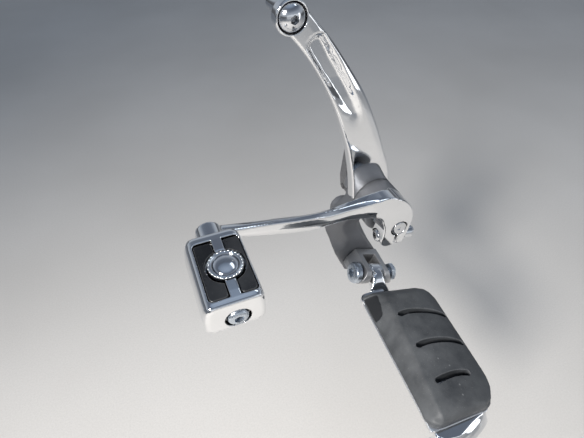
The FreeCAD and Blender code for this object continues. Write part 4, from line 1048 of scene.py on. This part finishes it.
PAD = np.array(path((-20.8, -28.0), [
    (-20.4, -24.4, -17.5, -23.2), (-8.0, -22.5), (31.0, -24.5), (42.0, -29.5, 46.3, -43.0), (45.2, -113.0),
    (42.0, -128.0, 34.5, -138.5), (31.5, -142.0, 27.0, -142.6), (-8.0, -145.8),
    (-13.5, -145.9), (-19.3, -142.0, -20.8, -133.0), (-20.8, -28.0)], 16))


def crown(x, y):
    """Height of the tread's top, in the tread's frame."""
    ridge_x = np.interp(-y, [20, 39, 78, 108, 146], [-7.0, -8.0, -10.0, -12.5, -15.0])
    ridge_z = np.interp(-y, [20, 45, 100, 146], [10.2, 11.0, 10.8, 8.6])
    behind = np.clip((x - ridge_x) / (46.0 - ridge_x), 0.0, 1.3)
    top = ridge_z * (1.0 - behind ** 3.0) + 0.6 * np.sin(np.pi * np.clip(behind, 0, 1))
    front = -1.6 + (x + 20.8) * (ridge_z + 2.2) / (ridge_x + 20.8)
    k = 1.1
    return -k * np.log(np.exp(-top / k) + np.exp(-front / k))


nx, ny = 100, 178
gx = np.linspace(-24.0, 50.0, nx)
gy = np.linspace(-150.0, -18.0, ny)
X, Y = np.meshgrid(gx, gy, indexing="ij")
flat_points = np.stack([X.ravel(), Y.ravel()], axis=1)
Z = crown(X.ravel(), Y.ravel())
inner_line = np.interp(flat_points[:, 0], [-21, -8, 31, 38, 43, 47], [-24.4, -22.5, -24.5, -27.0, -31.5, -40.0])
into = np.clip((inner_line - flat_points[:, 1]), -2.0, 60.0)
limit = -3.0 + 13.5 * np.sqrt(np.clip(into / 13.0, 0.0, 4.0)) ** 1.25
outer_line = np.interp(flat_points[:, 0], [-21, -13.5, -8, 27, 34.5, 42, 46], [-138, -145.9, -145.8, -142.6, -138.5, -128, -116])
out_of = np.clip((flat_points[:, 1] - outer_line), 0.0, 60.0)
limit2 = 1.5 + 9.0 * np.clip(out_of / 7.0, 0.0, 4.0) ** 0.5
k = 0.8
Z = -k * np.log(np.exp(-Z / k) + np.exp(-limit / k) + np.exp(-limit2 / k))
# outline of the 0.7 mm recessed patch at the inner front corner, which gets a near-black rubber
DARK_PATCH = np.array([(-23.0, -27.6), (-17.5, -28.8), (-13.0, -30.2), (-11.7, -31.4), (-12.9, -40.8), (-14.8, -49.6),
                  (-15.8, -51.2), (-18.3, -52.6), (-23.0, -53.4)])
Z = Z - 0.7 * inside(flat_points, DARK_PATCH)
points = [(x, y, max(z, -3.2)) for (x, y), z in zip(flat_points, Z)]
points += [(x, y, -5.0) for x, y in flat_points]
faces = []
base = nx * ny
for i in range(nx - 1):
    for j in range(ny - 1):
        a = i * ny + j
        faces.append((a, a + ny, a + ny + 1, a + 1))
        faces.append((base + a, base + a + 1, base + a + ny + 1, base + a + ny))
for i in range(nx - 1):
    for j in (0, ny - 1):
        a = i * ny + j
        faces.append((a, a + ny, base + a + ny, base + a))
for j in range(ny - 1):
    for i in (0, nx - 1):
        a = i * ny + j
        faces.append((a, a + 1, base + a + 1, base + a))
tread = make("tread", points, faces, TREAD)
tread = common(tread, prism("tread_outline", [tuple(p) for p in PAD], -4.9, 30.0, TREAD, "xy"))
SLOTS_AT = (
    [(-5.7, -57.4), (2.0, -55.9), (16.8, -56.8), (30.4, -58.6), (44.6, -61.2)],
    [(-5.4, -88.2), (2.9, -86.5), (17.6, -86.4), (29.8, -87.5), (43.6, -90.1)],
    [(-5.4, -118.5), (1.4, -117.0), (11.0, -115.8), (20.2, -115.9), (28.2, -117.0)])
for line in SLOTS_AT:
    line = np.array(smooth_rows([list(point) for point in line], 28))
    away = np.gradient(line, axis=0)
    away /= np.linalg.norm(away, axis=1)[:, None]
    normal = np.stack([-away[:, 1], away[:, 0]], axis=1)
    t = np.linspace(0.0, 1.0, len(line))
    w = 2.35 * np.sqrt(np.clip(1.0 - np.clip((0.06 - t) / 0.06, 0.0, 1.0) ** 2, 0.02, 1.0))
    w = w * np.sqrt(np.clip(1.0 - np.clip((t - 0.95) / 0.05, 0.0, 1.0) ** 2, 0.05, 1.0))
    outline = [tuple(p) for p in line + normal * w[:, None]] + [tuple(p) for p in (line - normal * w[:, None])[::-1]]
    tread = cut(tread, prism("slot", outline, -9.0, 30.0, TREAD, "xy"))
tread = remesh(tread, 0.55, 2)
piece(tread, "footrest_tread", M_RUBBER, "footpeg", ["footpeg_tread"])
# the faces of the 0.7 mm recessed patch at the tread's inner front corner get a near-black rubber
tread.data.materials.append(M_DARK_PATCH)
to_tread = TREAD.inverted()
for face in tread.data.polygons:
    at = to_tread @ (face.center / MM)
    if at.x > -10.0 or at.y < -56.0 or at.z < -3.6:
        continue
    lean = to_tread.to_3x3() @ face.normal
    if lean.z > 0.15 and inside(np.array([[at.x, at.y]]), DARK_PATCH)[0]:
        face.material_index = 1

TOP = [(-17.6, -146.8), (-17.4, -150.2), (-15.0, -151.8), (-6.0, -153.2), (1.5, -153.0), (8.0, -150.2), (13.5, -147.8),
       (21.0, -145.3), (28.0, -143.1), (31.6, -140.5)]
FOOT = [(-18.5, -146.8), (-18.5, -151.6), (-15.6, -154.6), (-6.0, -157.7), (4.5, -158.7), (14.5, -156.9), (22.5, -153.9),
        (29.5, -150.6), (34.9, -146.5), (36.1, -142.5)]
rings = []
for z, share, shrink in ((-16.6, 1.0, 1.6), (-15.9, 1.0, 0.4), (-15.0, 0.98, 0.0), (-12.0, 0.72, 0.0), (-9.0, 0.42, 0.0), (-6.6, 0.12, 0.0),
                         (-6.0, 0.04, 0.0), (-5.7, 0.0, 0.35)):
    outline = []
    for (ax, ay), (bx, by) in zip(TOP, FOOT):
        x, y = ax + (bx - ax) * share, ay + (by - ay) * share
        outline.append([x - shrink * np.sign(x - 6.0) * 0.6, y + shrink * 0.9])
    around = [(x, y, z) for x, y in smooth_rows(outline, 44)]
    rings.append(around + [(30.8, -139.6, z), (26.0, -142.2, z), (-8.0, -145.2, z)])
cap = loft("cap", rings, TREAD)
cap = remesh(cap, 0.5, 2)
piece(cap, "footrest_end_cap", M_CHROME, "footpeg", ["footpeg_end_cap"])

# ------------------------------------------------------------------------------------
# carried-over CAD nodes
# ------------------------------------------------------------------------------------
SLOTS = {part["node"]: part["material_slot"] for part in frame["record"]["subparts"]}
KEPT = ["shaft_bush_outer", "shaft_bush_inner", "brace_lower_screw", "clevis_screw", "pivot_washers",
        "thrust_washer", "inner_arm", "inner_arm_bolt", "footpeg_screws"]
for name in KEPT:
    obj = frame["nodes"][name]
    obj.data.materials.clear()
    obj.data.materials.append(FINISH[SLOTS[name]])
    mod = obj.modifiers.new("edge", "BEVEL")
    mod.width = 0.35 * MM
    mod.segments = 2
    mod.limit_method = "ANGLE"
    mod.angle_limit = math.radians(35.0)
